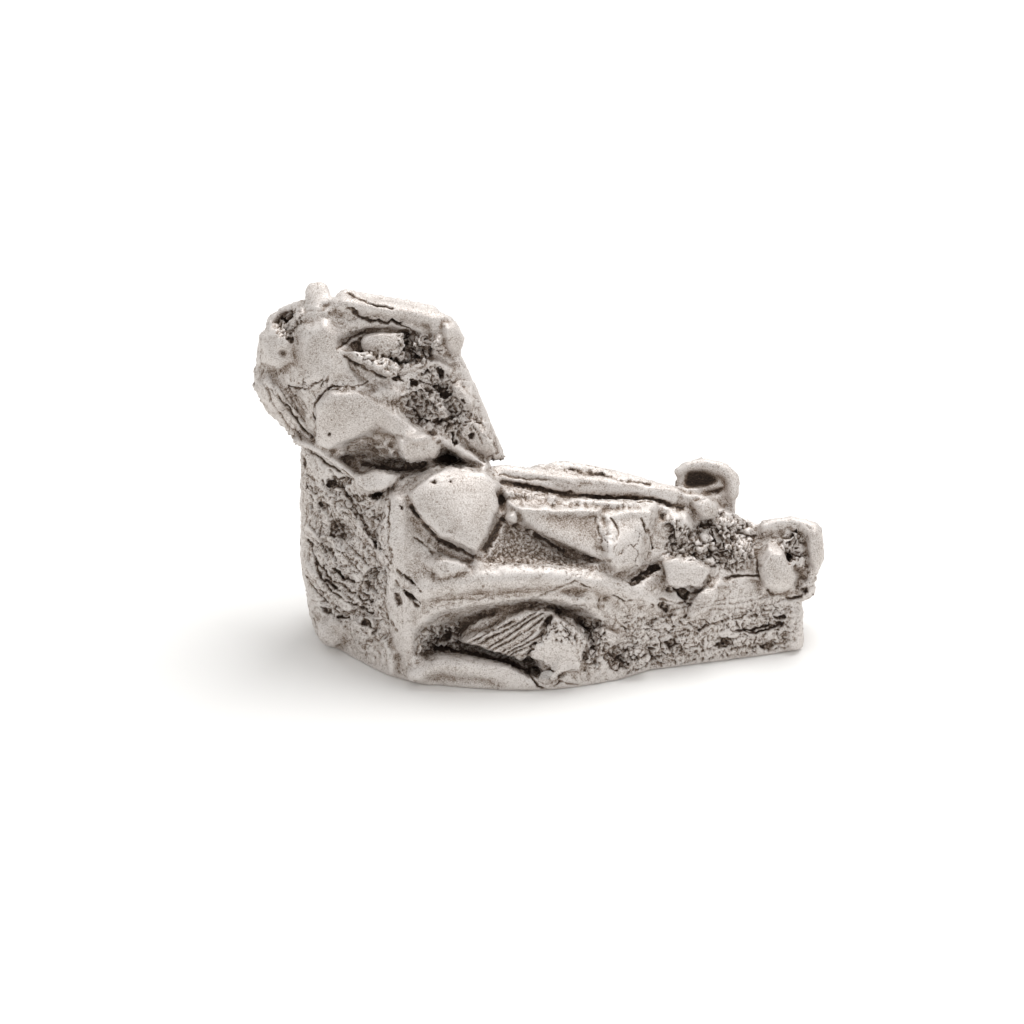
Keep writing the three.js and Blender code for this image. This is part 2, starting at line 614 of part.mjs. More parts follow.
const ARM_HOLLOWS = [
	// Sandy bed between the pebble, the beam and the lip.
	hollow( {
		outline: [
			[ 477, 562 ], [ 498, 514 ], [ 520, 526 ], [ 556, 550 ], [ 588, 561 ], [ 606, 563 ],
			[ 596, 571 ], [ 540, 566 ],
		],
		deep: 1.6,
	} ),
	limb( {
		path: [
			[ 504, 484, 0.1 ], [ 545, 494, 0.3 ], [ 600, 500, 0.3 ], [ 650, 502, 0.1 ],
			[ 682, 510, - 0.2 ],
		],
		radii: [ 0.45, 0.6, 0.6, 0.45, 0.4 ],
	} ),
	hollow( {
		outline: [ [ 674, 481 ], [ 688, 472 ], [ 708, 472 ], [ 723, 482 ], [ 708, 490 ], [ 684, 489 ] ],
		deep: 1.7,
	} ),
	hollow( { outline: [ [ 657, 509 ], [ 666, 508 ], [ 668, 524 ], [ 660, 526 ] ], deep: 1.1 } ),
	hollow( { outline: [ [ 698, 522 ], [ 716, 518 ], [ 714, 533 ], [ 702, 535 ] ], deep: 1.1 } ),
	hollow( {
		outline: [ [ 622, 580 ], [ 640, 566 ], [ 662, 560 ], [ 664, 570 ], [ 646, 582 ], [ 630, 588 ] ],
		deep: 1.2,
	} ),
	hollow( {
		outline: [ [ 780, 537 ], [ 800, 530 ], [ 808, 548 ], [ 802, 566 ], [ 788, 566 ] ],
		deep: 0.7,
	} ),
	lump( { at: [ 790, 558, 0.8 ], radii: [ 0.6, 1.2, 0.7 ] } ),
	limb( { path: [ [ 666, 592, - 0.4 ], [ 694, 598, - 0.2 ] ], radii: [ 0.5, 0.65 ] } ),
	// Great hollow of the front face, and the pits beyond it.
	hollow( {
		outline: [
			[ 411, 656 ], [ 416, 630 ], [ 440, 612 ], [ 490, 603 ], [ 545, 597 ], [ 585, 606 ],
			[ 608, 624 ], [ 600, 652 ], [ 560, 682 ], [ 532, 680 ], [ 500, 664 ], [ 450, 660 ],
		],
		deep: 3.4,
		steps: CAVE_STEPS,
	} ),
	hollow( { outline: [ [ 552, 592 ], [ 575, 581 ], [ 596, 589 ], [ 580, 600 ] ], deep: 0.6 } ),
	hollow( {
		outline: [ [ 598, 650 ], [ 618, 640 ], [ 652, 650 ], [ 642, 664 ], [ 612, 672 ] ],
		deep: 1.2,
	} ),
	hollow( {
		outline: [ [ 653, 609 ], [ 664, 603 ], [ 683, 609 ], [ 674, 621 ], [ 658, 622 ] ],
		deep: 1,
	} ),
	hollow( { outline: [ [ 711, 644 ], [ 728, 635 ], [ 735, 645 ], [ 720, 651 ] ], deep: 0.9 } ),
	hollow( { outline: [ [ 756, 647 ], [ 766, 640 ], [ 780, 644 ], [ 772, 652 ] ], deep: 0.8 } ),
	limb( {
		path: [ [ 738, 630, 0 ], [ 760, 628, 0.1 ], [ 782, 626, 0 ] ],
		radii: [ 0.3, 0.45, 0.35 ],
	} ),
];

// What lies inside the great hollow, the pit beside it and the mouth.

const INNER_FORMS = [
	slab( {
		outline: [
			[ 462, 640, 2.6 ], [ 480, 622, 2.5 ], [ 512, 610, 2.3 ], [ 545, 606, 2.1 ],
			[ 548, 624, 1.8 ], [ 536, 654, 1.8 ], [ 508, 656, 2.4 ],
		],
		proud: 0.6,
	} ),
	slab( {
		outline: [
			[ 531, 650, 1.2 ], [ 546, 624, 1.2 ], [ 566, 618, 1.2 ], [ 590, 638, 1 ], [ 580, 668, 0.8 ],
			[ 548, 676, 0.9 ],
		],
		proud: 0.8,
		crown: 0.3,
	} ),
	limb( {
		path: [
			[ 420, 672, 0.9 ], [ 440, 664, 0.8 ], [ 470, 666, 0.8 ], [ 504, 672, 0.7 ],
			[ 526, 682, 0.8 ],
		],
		radii: [ 1.2, 1.3, 1.2, 1.1, 0.9 ],
	} ),
	lump( { at: [ 547, 677, 0.5 ], radii: [ 0.9, 0.8, 0.6 ], roll: - 20 } ),
	lump( { at: [ 384, 344, 1.7 ], radii: [ 2.3, 1.2, 1.3 ], roll: 8 } ),
	lump( { at: [ 634, 655, 1 ], radii: [ 1.3, 1, 1 ] } ),
];

// The back, which is quieter: low swellings and thumbprint hollows, by x and height as seen from behind.

const BACK_FORMS = [
	lump( { side: BEHIND, at: [ - 17, 28, 1.4 ], radii: [ 5.5, 2.2, 4 ], roll: 10 } ),
	lump( { side: BEHIND, at: [ - 15, 11, 1.4 ], radii: [ 4.6, 2.2, 5 ], roll: - 10 } ),
	lump( { side: BEHIND, at: [ 2, 8, 1.3 ], radii: [ 4.4, 2.1, 4.4 ] } ),
	limb( {
		side: BEHIND,
		path: [ [ - 24, 20, 0.6 ], [ - 15, 18.6, 0.5 ], [ - 8, 17, 0.6 ] ],
		radii: [ 1, 1.2, 1 ],
	} ),
	limb( {
		side: BEHIND,
		path: [ [ - 6, 14.5, 0.6 ], [ 4, 13.8, 0.5 ], [ 14, 12, 0.6 ] ],
		radii: [ 1, 1.2, 1 ],
	} ),
];

const BACK_HOLLOWS = [
	lump( { side: BEHIND, at: [ - 8, 25, - 2.4 ], radii: [ 3, 3.4, 4.4 ], roll: 20 } ),
	lump( { side: BEHIND, at: [ - 22, 12, - 2.4 ], radii: [ 3, 3.4, 4.4 ] } ),
	lump( { side: BEHIND, at: [ - 7, 7, - 2.2 ], radii: [ 3.2, 3.4, 4.2 ], roll: - 15 } ),
	lump( { side: BEHIND, at: [ 10, 7, - 2.2 ], radii: [ 3.6, 3.4, 4 ] } ),
	lump( { side: BEHIND, at: [ 21, 6, - 2.4 ], radii: [ 3.2, 3.4, 3.4 ] } ),
];

const standing = [ ...HEAD_FORMS, ...NECK_FORMS, ...SHOULDER_FORMS, ...ARM_FORMS, ...BACK_FORMS ];
const carved = [ ...HEAD_HOLLOWS, ...NECK_HOLLOWS, ...SHOULDER_HOLLOWS, ...ARM_HOLLOWS, ...BACK_HOLLOWS ];
const stone = join( [ carve( join( [ MASS, ...standing ] ), carved ), ...INNER_FORMS ] );

// The base is cut flat, and the stone set on the middle of its box.

const belowBase = new THREE.BoxGeometry( FAR, FAR, FAR ).translate( 0, 0, - FAR / 2 );
const geometry = toGeometry( stone.subtract( toSolid( belowBase ) ) );
geometry.computeBoundingBox();
const box = geometry.boundingBox;
geometry.translate( - ( box.min.x + box.max.x ) / 2, - ( box.min.y + box.max.y ) / 2, 0 );
geometry.computeVertexNormals();

const meteorite = new THREE.Mesh( geometry, new THREE.MeshStandardMaterial( METAL ) );
meteorite.name = 'meteorite';

const group = new THREE.Group();
group.add( meteorite );

export default group;
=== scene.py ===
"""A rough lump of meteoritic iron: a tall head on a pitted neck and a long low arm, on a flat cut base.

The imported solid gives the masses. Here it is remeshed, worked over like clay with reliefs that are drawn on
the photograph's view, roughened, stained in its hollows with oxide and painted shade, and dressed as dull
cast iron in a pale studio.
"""

import itertools
import logging
import math
from dataclasses import dataclass
from enum import Enum
from typing import Any, Sequence

import bpy
import numpy as np
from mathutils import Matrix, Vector
from mathutils.bvhtree import BVHTree


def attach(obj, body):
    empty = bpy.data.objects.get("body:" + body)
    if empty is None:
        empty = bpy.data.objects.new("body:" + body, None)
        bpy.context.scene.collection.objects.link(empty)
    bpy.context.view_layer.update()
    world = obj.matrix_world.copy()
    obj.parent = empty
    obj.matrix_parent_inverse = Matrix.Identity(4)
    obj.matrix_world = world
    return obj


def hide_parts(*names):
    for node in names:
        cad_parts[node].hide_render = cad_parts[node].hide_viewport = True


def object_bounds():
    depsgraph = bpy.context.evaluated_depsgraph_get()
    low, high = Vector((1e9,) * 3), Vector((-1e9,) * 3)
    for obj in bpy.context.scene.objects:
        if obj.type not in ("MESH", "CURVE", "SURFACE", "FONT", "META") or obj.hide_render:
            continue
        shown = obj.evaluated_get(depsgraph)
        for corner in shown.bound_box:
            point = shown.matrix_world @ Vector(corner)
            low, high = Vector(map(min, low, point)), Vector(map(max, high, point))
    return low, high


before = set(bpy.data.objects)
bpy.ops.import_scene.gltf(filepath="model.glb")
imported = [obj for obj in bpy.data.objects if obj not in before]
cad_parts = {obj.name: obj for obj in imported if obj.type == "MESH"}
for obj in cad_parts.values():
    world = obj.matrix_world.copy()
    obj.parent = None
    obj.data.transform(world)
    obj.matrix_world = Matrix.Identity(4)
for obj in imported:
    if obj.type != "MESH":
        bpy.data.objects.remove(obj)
CAD_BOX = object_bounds()

log = logging.getLogger("meteorite")

NODE = "meteorite"
BODY = "root"
MM = 0.001
FOOT_HEIGHT = 0.05 * MM


def linear(colour: str) -> tuple[float, float, float, float]:
    """Turns an sRGB hex colour into a linear one.

    Args:
        colour: six hex digits.

    Returns:
        Red, green, blue and full alpha, linear.
    """
    parts = [int(colour[i : i + 2], 16) / 255 for i in (0, 2, 4)]
    parts = [p / 12.92 if p <= 0.04045 else ((p + 0.055) / 1.055) ** 2.4 for p in parts]
    return (*parts, 1.0)


def smoothstep(low: float, high: float, values: np.ndarray) -> np.ndarray:
    """Rises softly from 0 at low to 1 at high.

    Args:
        low: where the rise starts.
        high: where it ends.
        values: what is graded.

    Returns:
        The grades, from 0 to 1.
    """
    t = np.clip((values - low) / (high - low), 0, 1)
    return t * t * (3 - 2 * t)


def scatter(cells: np.ndarray, seed: int) -> np.ndarray:
    """Gives each cell of a grid three steady random numbers.

    Args:
        cells: whole-number grid places, one row each.
        seed: picks another set.

    Returns:
        Numbers from 0 to 1, three to a row.
    """
    grid = cells.astype(np.int64).astype(np.uint32)
    mix = grid[:, 0] * np.uint32(73856093) ^ grid[:, 1] * np.uint32(19349663)
    mix = mix ^ grid[:, 2] * np.uint32(83492791) ^ np.uint32(seed * 7919 + 17)
    columns = []
    for _ in range(3):
        mix = (mix ^ (mix >> np.uint32(15))) * np.uint32(2246822519)
        mix = (mix ^ (mix >> np.uint32(13))) * np.uint32(3266489917)
        mix = mix ^ (mix >> np.uint32(16))
        columns.append(mix / 2**32)
    return np.stack(columns, 1)


def cloud(points: np.ndarray, size: float, octaves: int, seed: int) -> np.ndarray:
    """Soft random swelling through space, in octaves that halve.

    Args:
        points: places in millimetres.
        size: the largest swelling's width in millimetres.
        octaves: how many finer layers are added.
        seed: picks another pattern.

    Returns:
        Values from about -1 to 1.
    """
    total = np.zeros(len(points))
    weight = 1.0
    for octave in range(octaves):
        place = points * (2**octave / size) + 0.37 * octave
        base = np.floor(place)
        part = place - base
        part = part * part * (3 - 2 * part)
        layer = np.zeros(len(points))
        for corner in itertools.product((0, 1), repeat=3):
            share = np.prod(np.where(corner, part, 1 - part), 1)
            layer += share * scatter(base + corner, seed + octave)[:, 0]
        total += weight * (2 * layer - 1)
        weight *= 0.5
    return total / (2 - 2 * weight)


def grains(
    points: np.ndarray, size: float, seed: int
) -> tuple[np.ndarray, np.ndarray, np.ndarray, np.ndarray]:
    """Packs space with irregular grains.

    Args:
        points: places in millimetres.
        size: a grain's usual width in millimetres.
        seed: picks another packing.

    Returns:
        Distance to the grain's heart and to the next heart, in grain widths, a random number for each
        grain, and the height of a facet that tilts at random through its heart.
    """
    place = points / size
    base = np.floor(place)
    nearest = np.full(len(points), np.inf)
    second = np.full(len(points), np.inf)
    number = np.zeros(len(points))
    facet = np.zeros(len(points))
    for step in itertools.product((-1, 0, 1), repeat=3):
        cell = base + step
        random = scatter(cell, seed)
        line = place - cell - random
        away = np.linalg.norm(line, axis=1)
        closer = away < nearest
        second = np.where(closer, nearest, np.minimum(second, away))
        number = np.where(closer, random[:, 0], number)
        facet = np.where(closer, ((2 * random - 1) * line).sum(1), facet)
        nearest = np.where(closer, away, nearest)
    return nearest, second, number, facet


def spots(text: str) -> np.ndarray:
    """Reads the corners of an outline or a path.

    Args:
        text: the corners, each as two numbers with a comma, with spaces between.

    Returns:
        The corners, one row each.
    """
    return np.array([corner.split(",") for corner in text.split()], float)


def edge_distance(across: np.ndarray, down: np.ndarray, start: np.ndarray, end: np.ndarray) -> np.ndarray:
    """Measures how far points lie from one straight stretch.

    Args:
        across: the points' first coordinates.
        down: their second coordinates.
        start: where the stretch starts, in the same unit.
        end: where it ends.

    Returns:
        Distances to the stretch.
    """
    edge = end - start
    along = np.clip(((across - start[0]) * edge[0] + (down - start[1]) * edge[1]) / (edge @ edge), 0, 1)
    return np.hypot(across - start[0] - along * edge[0], down - start[1] - along * edge[1])


def inside_distance(across: np.ndarray, down: np.ndarray, corners: np.ndarray) -> np.ndarray:
    """Measures how far points lie inside a closed outline.

    Args:
        across: the points' first coordinates.
        down: their second coordinates.
        corners: its corners, in the same unit.

    Returns:
        Distances to the outline, below 0 outside it.
    """
    nearest = np.full(across.shape, np.inf)
    inside = np.zeros(across.shape, bool)
    for a, b in zip(corners, np.roll(corners, -1, 0)):
        nearest = np.minimum(nearest, edge_distance(across, down, a, b))
        if a[1] != b[1]:
            crossing = a[0] + (b[0] - a[0]) * (down - a[1]) / (b[1] - a[1])
            inside ^= ((a[1] > down) != (b[1] > down)) & (across < crossing)
    return np.where(inside, nearest, -nearest)


def path_distance(across: np.ndarray, down: np.ndarray, corners: np.ndarray) -> np.ndarray:
    """Measures how far points lie from a path of straight stretches.

    Args:
        across: the points' first coordinates.
        down: their second coordinates.
        corners: its corners, in the same unit.

    Returns:
        Distances to the path.
    """
    nearest = np.full(across.shape, np.inf)
    for a, b in zip(corners[:-1], corners[1:]):
        nearest = np.minimum(nearest, edge_distance(across, down, a, b))
    return nearest


@dataclass(frozen=True)
class Patch:
    """A lump, or a hollow where its height is below 0, inside an outline."""

    outline: str
    height: float
    soft: float
    stain_and_shade: float = 0.0
    lean: tuple[float, float] | None = None

    def reach(self) -> tuple[np.ndarray, np.ndarray]:
        """Gives the lowest and highest corner of the area that it can change."""
        corners = spots(self.outline)
        return corners.min(0), corners.max(0)

    def share(self, across: np.ndarray, down: np.ndarray) -> np.ndarray:
        """Grades points from 0 at the outline to 1 within it, or to 1 at the end that it leans to.

        Args:
            across: the points' first coordinates.
            down: their second coordinates.

        Returns:
            The grades.
        """
        corners = spots(self.outline)
        grade = smoothstep(0, self.soft, inside_distance(across, down, corners))
        if self.lean:
            ends = corners @ self.lean
            along = across * self.lean[0] + down * self.lean[1]
            grade *= np.clip((along - ends.min()) / np.ptp(ends), 0, 1)
        return grade


@dataclass(frozen=True)
class Ridge:
    """A raised fold, or a groove where its height is below 0, along a path."""

    path: str
    height: float
    width: float
    stain_and_shade: float = 0.0

    def reach(self) -> tuple[np.ndarray, np.ndarray]:
        """Gives the lowest and highest corner of the area that it can change."""
        corners = spots(self.path)
        return corners.min(0) - self.width, corners.max(0) + self.width

    def share(self, across: np.ndarray, down: np.ndarray) -> np.ndarray:
        """Grades points from 0 at its foot to 1 on its crest.

        Args:
            across: the points' first coordinates.
            down: their second coordinates.

        Returns:
            The grades.
        """
        return smoothstep(0, 1, 1 - path_distance(across, down, spots(self.path)) / self.width)


Relief = Patch | Ridge


@dataclass(frozen=True)
class Sight:
    """The photograph's view of the stone: where the eye stands and where a place falls in the picture."""

    low: np.ndarray
    high: np.ndarray
    foot: float
    elevation: float = math.radians(30)
    distance: float = 900 * MM
    side: int = 1024
    stone_columns: float = 573
    middle_column: float = 539.5
    foot_row: float = 692

    @property
    def pixel(self) -> float:
        """Width of a picture point on the stone, in metres."""
        return (self.high[0] - self.low[0]) / self.stone_columns

    @property
    def into(self) -> np.ndarray:
        """Direction from the eye into the picture."""
        return np.array((0, math.cos(self.elevation), -math.sin(self.elevation)))

    @property
    def up(self) -> np.ndarray:
        """Direction that is up in the picture."""
        return np.array((0, math.sin(self.elevation), math.cos(self.elevation)))

    @property
    def eye(self) -> np.ndarray:
        """Place of the eye."""
        half = self.side / 2
        middle = (self.low[0] + self.high[0]) / 2 + (half - self.middle_column) * self.pixel
        aim = np.array((middle, self.foot, 0)) + self.up * ((self.foot_row - half) * self.pixel)
        return aim - self.into * self.distance

    def place(self, points: np.ndarray) -> tuple[np.ndarray, np.ndarray]:
        """Finds where points fall in the picture.

        Args:
            points: places in metres.

        Returns:
            Columns and rows of the picture.
        """
        away = points - self.eye
        scale = self.distance / self.pixel / (away @ self.into)
        return self.side / 2 + away[:, 0] * scale, self.side / 2 - (away @ self.up) * scale

    def towards(self, points: np.ndarray) -> np.ndarray:
        """Gives the directions from points to the eye."""
        away = self.eye - points
        return away / np.linalg.norm(away, axis=1, keepdims=True)


# Reliefs drawn on the photograph's view: corners are its columns and rows, heights are millimetres.
HEAD_FORMS: list[Relief] = [
    # Ear block, left lobe and the broad smooth face.
    Patch("259,333 276,327 294,340 296,362 280,373 262,362", 0.6, 8),
    Patch("254,380 270,372 287,390 286,416 268,412 256,398", 0.6, 7),
    Patch("298,324 330,316 344,334 338,350 346,372 330,390 304,386 294,352", 0.5, 13),
    # Flat cheek, and the fold that runs down from it to the right.
    Patch(
        "314,404 330,389 358,388 384,402 408,420 436,440 "
        "420,446 396,438 372,433 350,441 330,452 314,446",
        0.6,
        6,
    ),
    Patch("394,436 424,430 443,446 434,458 410,466 399,458", 1.1, 8),
    # Eye hollow with its sandy floor, the slot below it and the gap over the boulder. The slot and the gap
    # are stained dark as painted shadow under the cheek's overhang, over only shallow cuts.
    Patch("341,452 353,441 374,436 396,444 400,460 380,467 354,463", 0.3, 6, 0.35),
    Patch("372,444 386,439 399,448 397,460 378,458", 0.5, 5),
    Ridge("364,464 390,470 424,469", -0.3, 4, 0.8),
    Patch("430,466 447,448 466,463 448,471", -0.2, 4, 0.7),
    # Fold hollow at the left, ear hollow with its dark hole, and the hollow under the knob.
    Patch("287,388 304,386 313,412 313,436 298,418", 0.4, 6, 0.2),
    Patch("270,334 283,312 303,306 306,318 290,345", 0.4, 5, 0.15),
    Patch("279,321 284,311 297,309 299,317 288,325", -0.5, 3, 0.6),
    Patch("280,352 294,350 295,362 284,363", 0.1, 3, 0.25),
    Patch("319,312 338,300 341,306 326,316", 0.3, 3, 0.4),
    # Ledge over the mouth; in the mouth a grey lump, two shelves, crumbs and holes; the beak.
    Ridge("344,303 400,313 444,321", 0.5, 12),
    Patch("337,347 352,335 368,330 402,331 441,335 441,350 422,367 388,378 358,364", 0.4, 4, 0.25),
    Patch("357,351 365,335 384,329 401,334 401,350 394,358 380,356 366,354", 1.3, 5),
    Patch("340,351 352,353 366,358 384,362 400,368 392,379 372,372 354,363", 1.4, 3),
    Patch("388,360 398,351 409,353 413,361 400,366", 1.0, 3),
    Patch("411,333 442,333 444,348 430,352 414,350", 1.0, 4, 0.25),
    Patch("413,335 423,332 426,341 416,344", 0.7, 3),
    Patch("412,354 419,352 422,364 414,366", -0.5, 2.5, 0.8),
    Patch("440,322 456,320 467,337 465,351 452,356 441,344", 0.8, 7),
    Patch("438,319 448,319 457,329 440,331", -0.25, 3, 0.5),
    # Plates of the right flank, the sunken facet beside them, and the straps over boulder and neck.
    Patch("449,384 460,381 473,400 473,410 462,405 452,397", 0.7, 4),
    Patch("461,424 474,417 486,430 498,452 486,459 470,447 459,436", 0.7, 4),
    Patch("424,357 440,358 453,368 449,382 436,366 424,371", 0.5, 4),
    Ridge("422,388 431,401 444,412", 0.7, 5),
    Patch("396,402 412,394 424,404 433,418 430,430 414,426 400,414", -0.3, 5, 0.2),
    Patch("376,381 398,385 408,396 390,404 370,396", 0.4, 6),
    Ridge("438,438 460,450 484,466", 0.7, 7),
    Ridge("296,441 320,450 357,477 368,498", 0.5, 6),
]
NECK_FORMS: list[Relief] = [
    Patch("354,474 378,470 403,472 396,484 381,491 370,494 358,486", 0.9, 5),
    Patch("315,622 332,611 349,622 347,646 330,649 318,640", 0.8, 8),
    Patch("351,624 360,613 370,611 379,618 376,640 360,645", 0.9, 6),
    Patch("379,640 390,632 398,650 400,677 388,675", 0.8, 7),
    # Leaves that overlap downwards, each highest at its lower left edge.
    Patch("338,546 352,547 374,566 360,582 334,565 325,549", 0.9, 2.5, 0, (-0.5, 0.85)),
    Patch("322,576 332,570 360,587 366,606 350,613 330,601 313,585", 0.9, 2.5, 0, (-0.5, 0.85)),
    Patch("308,510 326,510 331,520 329,538 318,540 305,528", 0.6, 3, 0, (0.2, 1)),
    Patch("301,556 311,554 323,574 316,583 303,574", 0.5, 3, 0, (-0.5, 0.85)),
    Patch("310,486 322,490 346,494 352,512 336,515 322,498 312,500", 0.5, 3, 0, (0.2, 1)),
    Ridge("350,506 366,534 387,560", 0.6, 6),
    Patch("361,578 374,567 389,563 391,592 378,612 366,610 360,593", 0.5, 4, 0.25),
]
SHOULDER_FORMS: list[Relief] = [
    # The smooth boulder in its groove, and the column that carries it.
    Patch(
        "407,494 425,475 452,466 484,470 503,488 497,512 489,534 477,555 463,546 441,539 419,518",
        0.6,
        5,
    ),
    Ridge("410,511 430,541 468,558", 0.2, 5, 0.4),
    Ridge("400,504 399,545 404,596 409,640 413,676", 0.7, 20),
    Patch("424,564 442,553 468,561 472,572 440,580", 0.5, 7),
    # Painted shadow: the slit beside the boulder and the boulder's right wall are stained dark for the shade
    # there, over a slight rise and a shallow cut.
    Patch("494,494 501,487 508,504 502,514", 0.3, 3, 0.7),
    Patch("479,552 491,530 501,512 507,518 497,540 486,556", -0.3, 4, 0.8),
]
ARM_FORMS: list[Relief] = [
    # Slit under the rod, beam with its hollowed face and end block, the sandy bed and the lip before it.
    Ridge("502,482 545,492 600,498 650,499 682,508", -0.15, 4, 0.8),
    Ridge("508,493 536,496 554,498", 0.7, 6),
    Ridge("574,502 610,504 632,505", 0.4, 5),
    Ridge("516,508 560,509 612,511 636,510", 0.4, 12),
    # Painted shade: the beam's face takes a light stain for the shade below its lit top edge.
    Patch("508,503 604,506 610,548 588,558 556,548 520,526", 1.4, 8, 0.15, (0.1, -1)),
    Patch("600,512 626,506 652,505 658,518 646,540 644,568 615,575 600,558", 0.8, 9),
    Patch(
        "479,562 490,540 500,516 520,526 543,540 559,551 588,560 606,563 598,571 540,567",
        0.5,
        5,
        0.3,
    ),
    Patch("505,514 514,511 519,520 512,527 505,522", 0.9, 4),
    Ridge("428,588 480,578 545,576 604,584 656,600", 0.5, 18),
    Patch("624,583 640,567 662,561 664,570 646,582 630,589", 0.2, 3, 0.6),
    # Cap hollow, open towards the rod; rod end, chunk and teardrop.
    Patch("673,481 688,470 708,471 726,484 708,491 684,490", 0.1, 5, 0.6),
    Patch("674,486 700,487 728,486 720,497 684,495", -0.7, 5, 0.1),
    Patch("690,502 706,494 719,503 715,518 700,521", 1.1, 7),
    Patch("698,522 716,519 714,533 702,535", 0.3, 4, 0.5),
    Patch("640,506 650,500 659,508 656,520 645,521", 0.3, 5),
    Patch("657,508 667,508 669,525 659,527", 0.3, 3, 0.5),
    Patch("661,560 690,555 713,570 700,589 666,585", 0.8, 4),
    Patch("720,583 717,597 708,610 691,620 684,613 690,600 704,589", 1.2, 4),
    # The end: its smooth lump, its crumbly hollow with a round pit, the rim and the lobes below.
    Patch("755,562 766,543 784,547 800,574 798,592 776,596 760,590", 0.8, 10),
    Patch("777,537 800,528 809,548 803,570 788,568", 0.9, 5),
    Patch("784,552 794,550 797,563 786,566", -0.5, 3, 0.7),
    Patch("806,530 818,524 826,540 823,562 814,576 807,560", 0.7, 7),
    Patch("797,580 810,576 818,588 808,602 798,600", 0.5, 6),
    Patch("782,612 796,605 805,622 806,642 797,655 784,650", 0.6, 8),
]
FRONT_FORMS: list[Relief] = [
    # Great hollow with the layered slab, the blunt block and the tongue along its lower edge.
    Patch(
        "410,657 417,632 445,615 478,607 535,604 560,609 585,607 "
        "604,618 606,650 566,683 534,682 504,661 452,653",
        0.2,
        5,
        0.25,
    ),
    Patch(
        "460,641 470,631 486,628 505,616 527,607 556,608 546,630 536,648 521,660 505,652 482,647",
        1.2,
        5,
        0.2,
    ),
    Patch("529,656 540,634 556,614 571,625 588,637 583,655 581,671 556,673", 1.1, 5),
    Patch("545,630 556,613 572,624 564,636", 0, 5, 0.3),
    Patch("438,646 444,628 462,618 478,620 462,640", -0.2, 5, 0.5),
    Ridge("450,648 480,655 505,660 529,672", -0.2, 5, 0.7),
    Ridge("418,674 440,664 470,667 504,673 528,684", 0.7, 14),
    Patch("537,681 543,671 555,671 555,680 545,684", 0.9, 3),
    Patch("530,603 550,589 575,579 592,588 604,608 584,606 560,608", 0.2, 5, 0.3),
    Patch("418,624 470,594 530,591 600,592 634,634 600,640 530,625 440,630", 0, 14, 0.25),
    # Steps and dark pockets at the hollow's right end, then the pits of the face.
    Patch("590,630 606,626 622,634 612,643 594,642", 0.9, 3),
    Patch("575,620 588,618 597,630 584,634", 0.2, 3, 0.6),
    Patch("585,654 596,650 598,670 587,672", 0.3, 3, 0.6),
    Patch("597,652 618,643 622,660 612,673", 0.1, 3, 0.7),
    Patch("620,652 640,646 652,656 632,668", 0.8, 4, 0.1),
    Patch("653,609 664,603 684,609 674,622 658,623", 0.3, 3, 0.4),
]
PITS: list[Relief] = [
    # Head flank.
    Patch("391,373 403,375 405,383 393,381", -0.2, 2, 0.8),
    Patch("434,363 440,369 445,369 445,378 440,379", -0.6, 2, 0.7),
    Patch("433,384 441,384 452,391 449,400 440,397", -0.4, 2, 0.7),
    Patch("409,378 420,379 418,386 411,386", -0.6, 2, 0.7),
    Patch("433,424 441,418 452,413 464,415 452,419 442,424", -0.5, 2, 0.7),
    Patch("448,432 452,432 461,445 455,445", -0.5, 2, 0.6),
    Patch("416,388 420,387 430,399 439,410 434,411", -0.5, 2, 0.6),
    Patch("468,435 474,433 476,440 470,442", -0.5, 2, 0.7),
    Patch("459,398 464,397 465,402 461,404", -0.4, 1.8, 0.7),
    Patch("287,335 295,336 294,343 289,343", -0.3, 2, 0.5),
    Patch("281,329 290,327 291,333 284,334", -0.4, 2, 0.6),
    Patch("327,431 333,431 332,437 327,436", -0.3, 2, 0.6),
    # Neck.
    Patch("324,485 331,479 340,476 353,477 353,483 343,489 333,490", -0.2, 2, 0.6),
    Patch("316,504 321,499 330,506 330,510 323,508", -0.2, 2, 0.6),
    Patch(
        "330,535 331,521 339,516 344,521 352,529 360,538 357,545 343,540",
        -0.3,
        2,
        0.6,
        (-0.7, -0.7),
    ),
    Patch("347,494 367,493 386,490 385,498 372,501 358,503", -0.2, 2, 0.55),
    Patch("374,518 385,509 386,520 381,522", -0.2, 2, 0.7),
    Patch("369,536 376,540 384,552 375,549", -0.6, 2, 0.6),
    Patch("318,542 325,542 337,551 332,561 326,553", -0.2, 2, 0.6),
    Patch("330,567 335,566 350,577 363,584 350,583", -0.2, 2, 0.75),
    Patch("318,576 333,580 343,595 330,586", -0.4, 2, 0.6),
    Patch("320,605 333,608 331,617 323,613", -0.5, 2, 0.5),
    Patch("333,617 340,613 352,617 344,620", -0.5, 2, 0.6),
    Patch("358,624 364,617 372,622 376,630 366,628", -0.5, 2, 0.5),
    Patch("399,586 411,592 422,606 409,598", -0.6, 2, 0.8),
    Patch("397,570 409,575 421,588 408,581", -0.4, 2, 0.6),
    Patch("393,594 401,593 404,606 396,607", -0.3, 2, 0.4),
    # Arm end, lower face and foot.
    Patch("662,640 676,636 680,646 668,650", -0.6, 2.5, 0.5),
    Patch("711,645 727,635 735,643 720,650", -0.2, 3, 0.45),
    Patch("738,632 756,629 781,624 776,629 755,634", -0.5, 2, 0.6),
    Patch("756,648 766,640 780,643 772,652", -0.2, 3, 0.5),
    Patch("773,617 783,613 787,619 778,623", -0.5, 2, 0.6),
    Patch("800,590 807,585 810,592 803,597", -0.5, 2, 0.6),
    Patch("430,480 436,479 437,483 431,484", -0.3, 1.8, 0.6),
    Patch("448,482 452,480 454,484 449,485", -0.3, 1.8, 0.6),
    Patch("398,506 403,505 404,511 399,512", -0.3, 1.8, 0.6),
    Patch("671,588 682,586 690,593 686,603 679,598", -0.6, 2, 0.7),
    Patch("626,582 640,571 657,562 661,569 645,580 630,588", -0.5, 2.5, 0.75),
    Patch("656,606 664,600 672,606 666,614", -0.4, 2, 0.6),
]
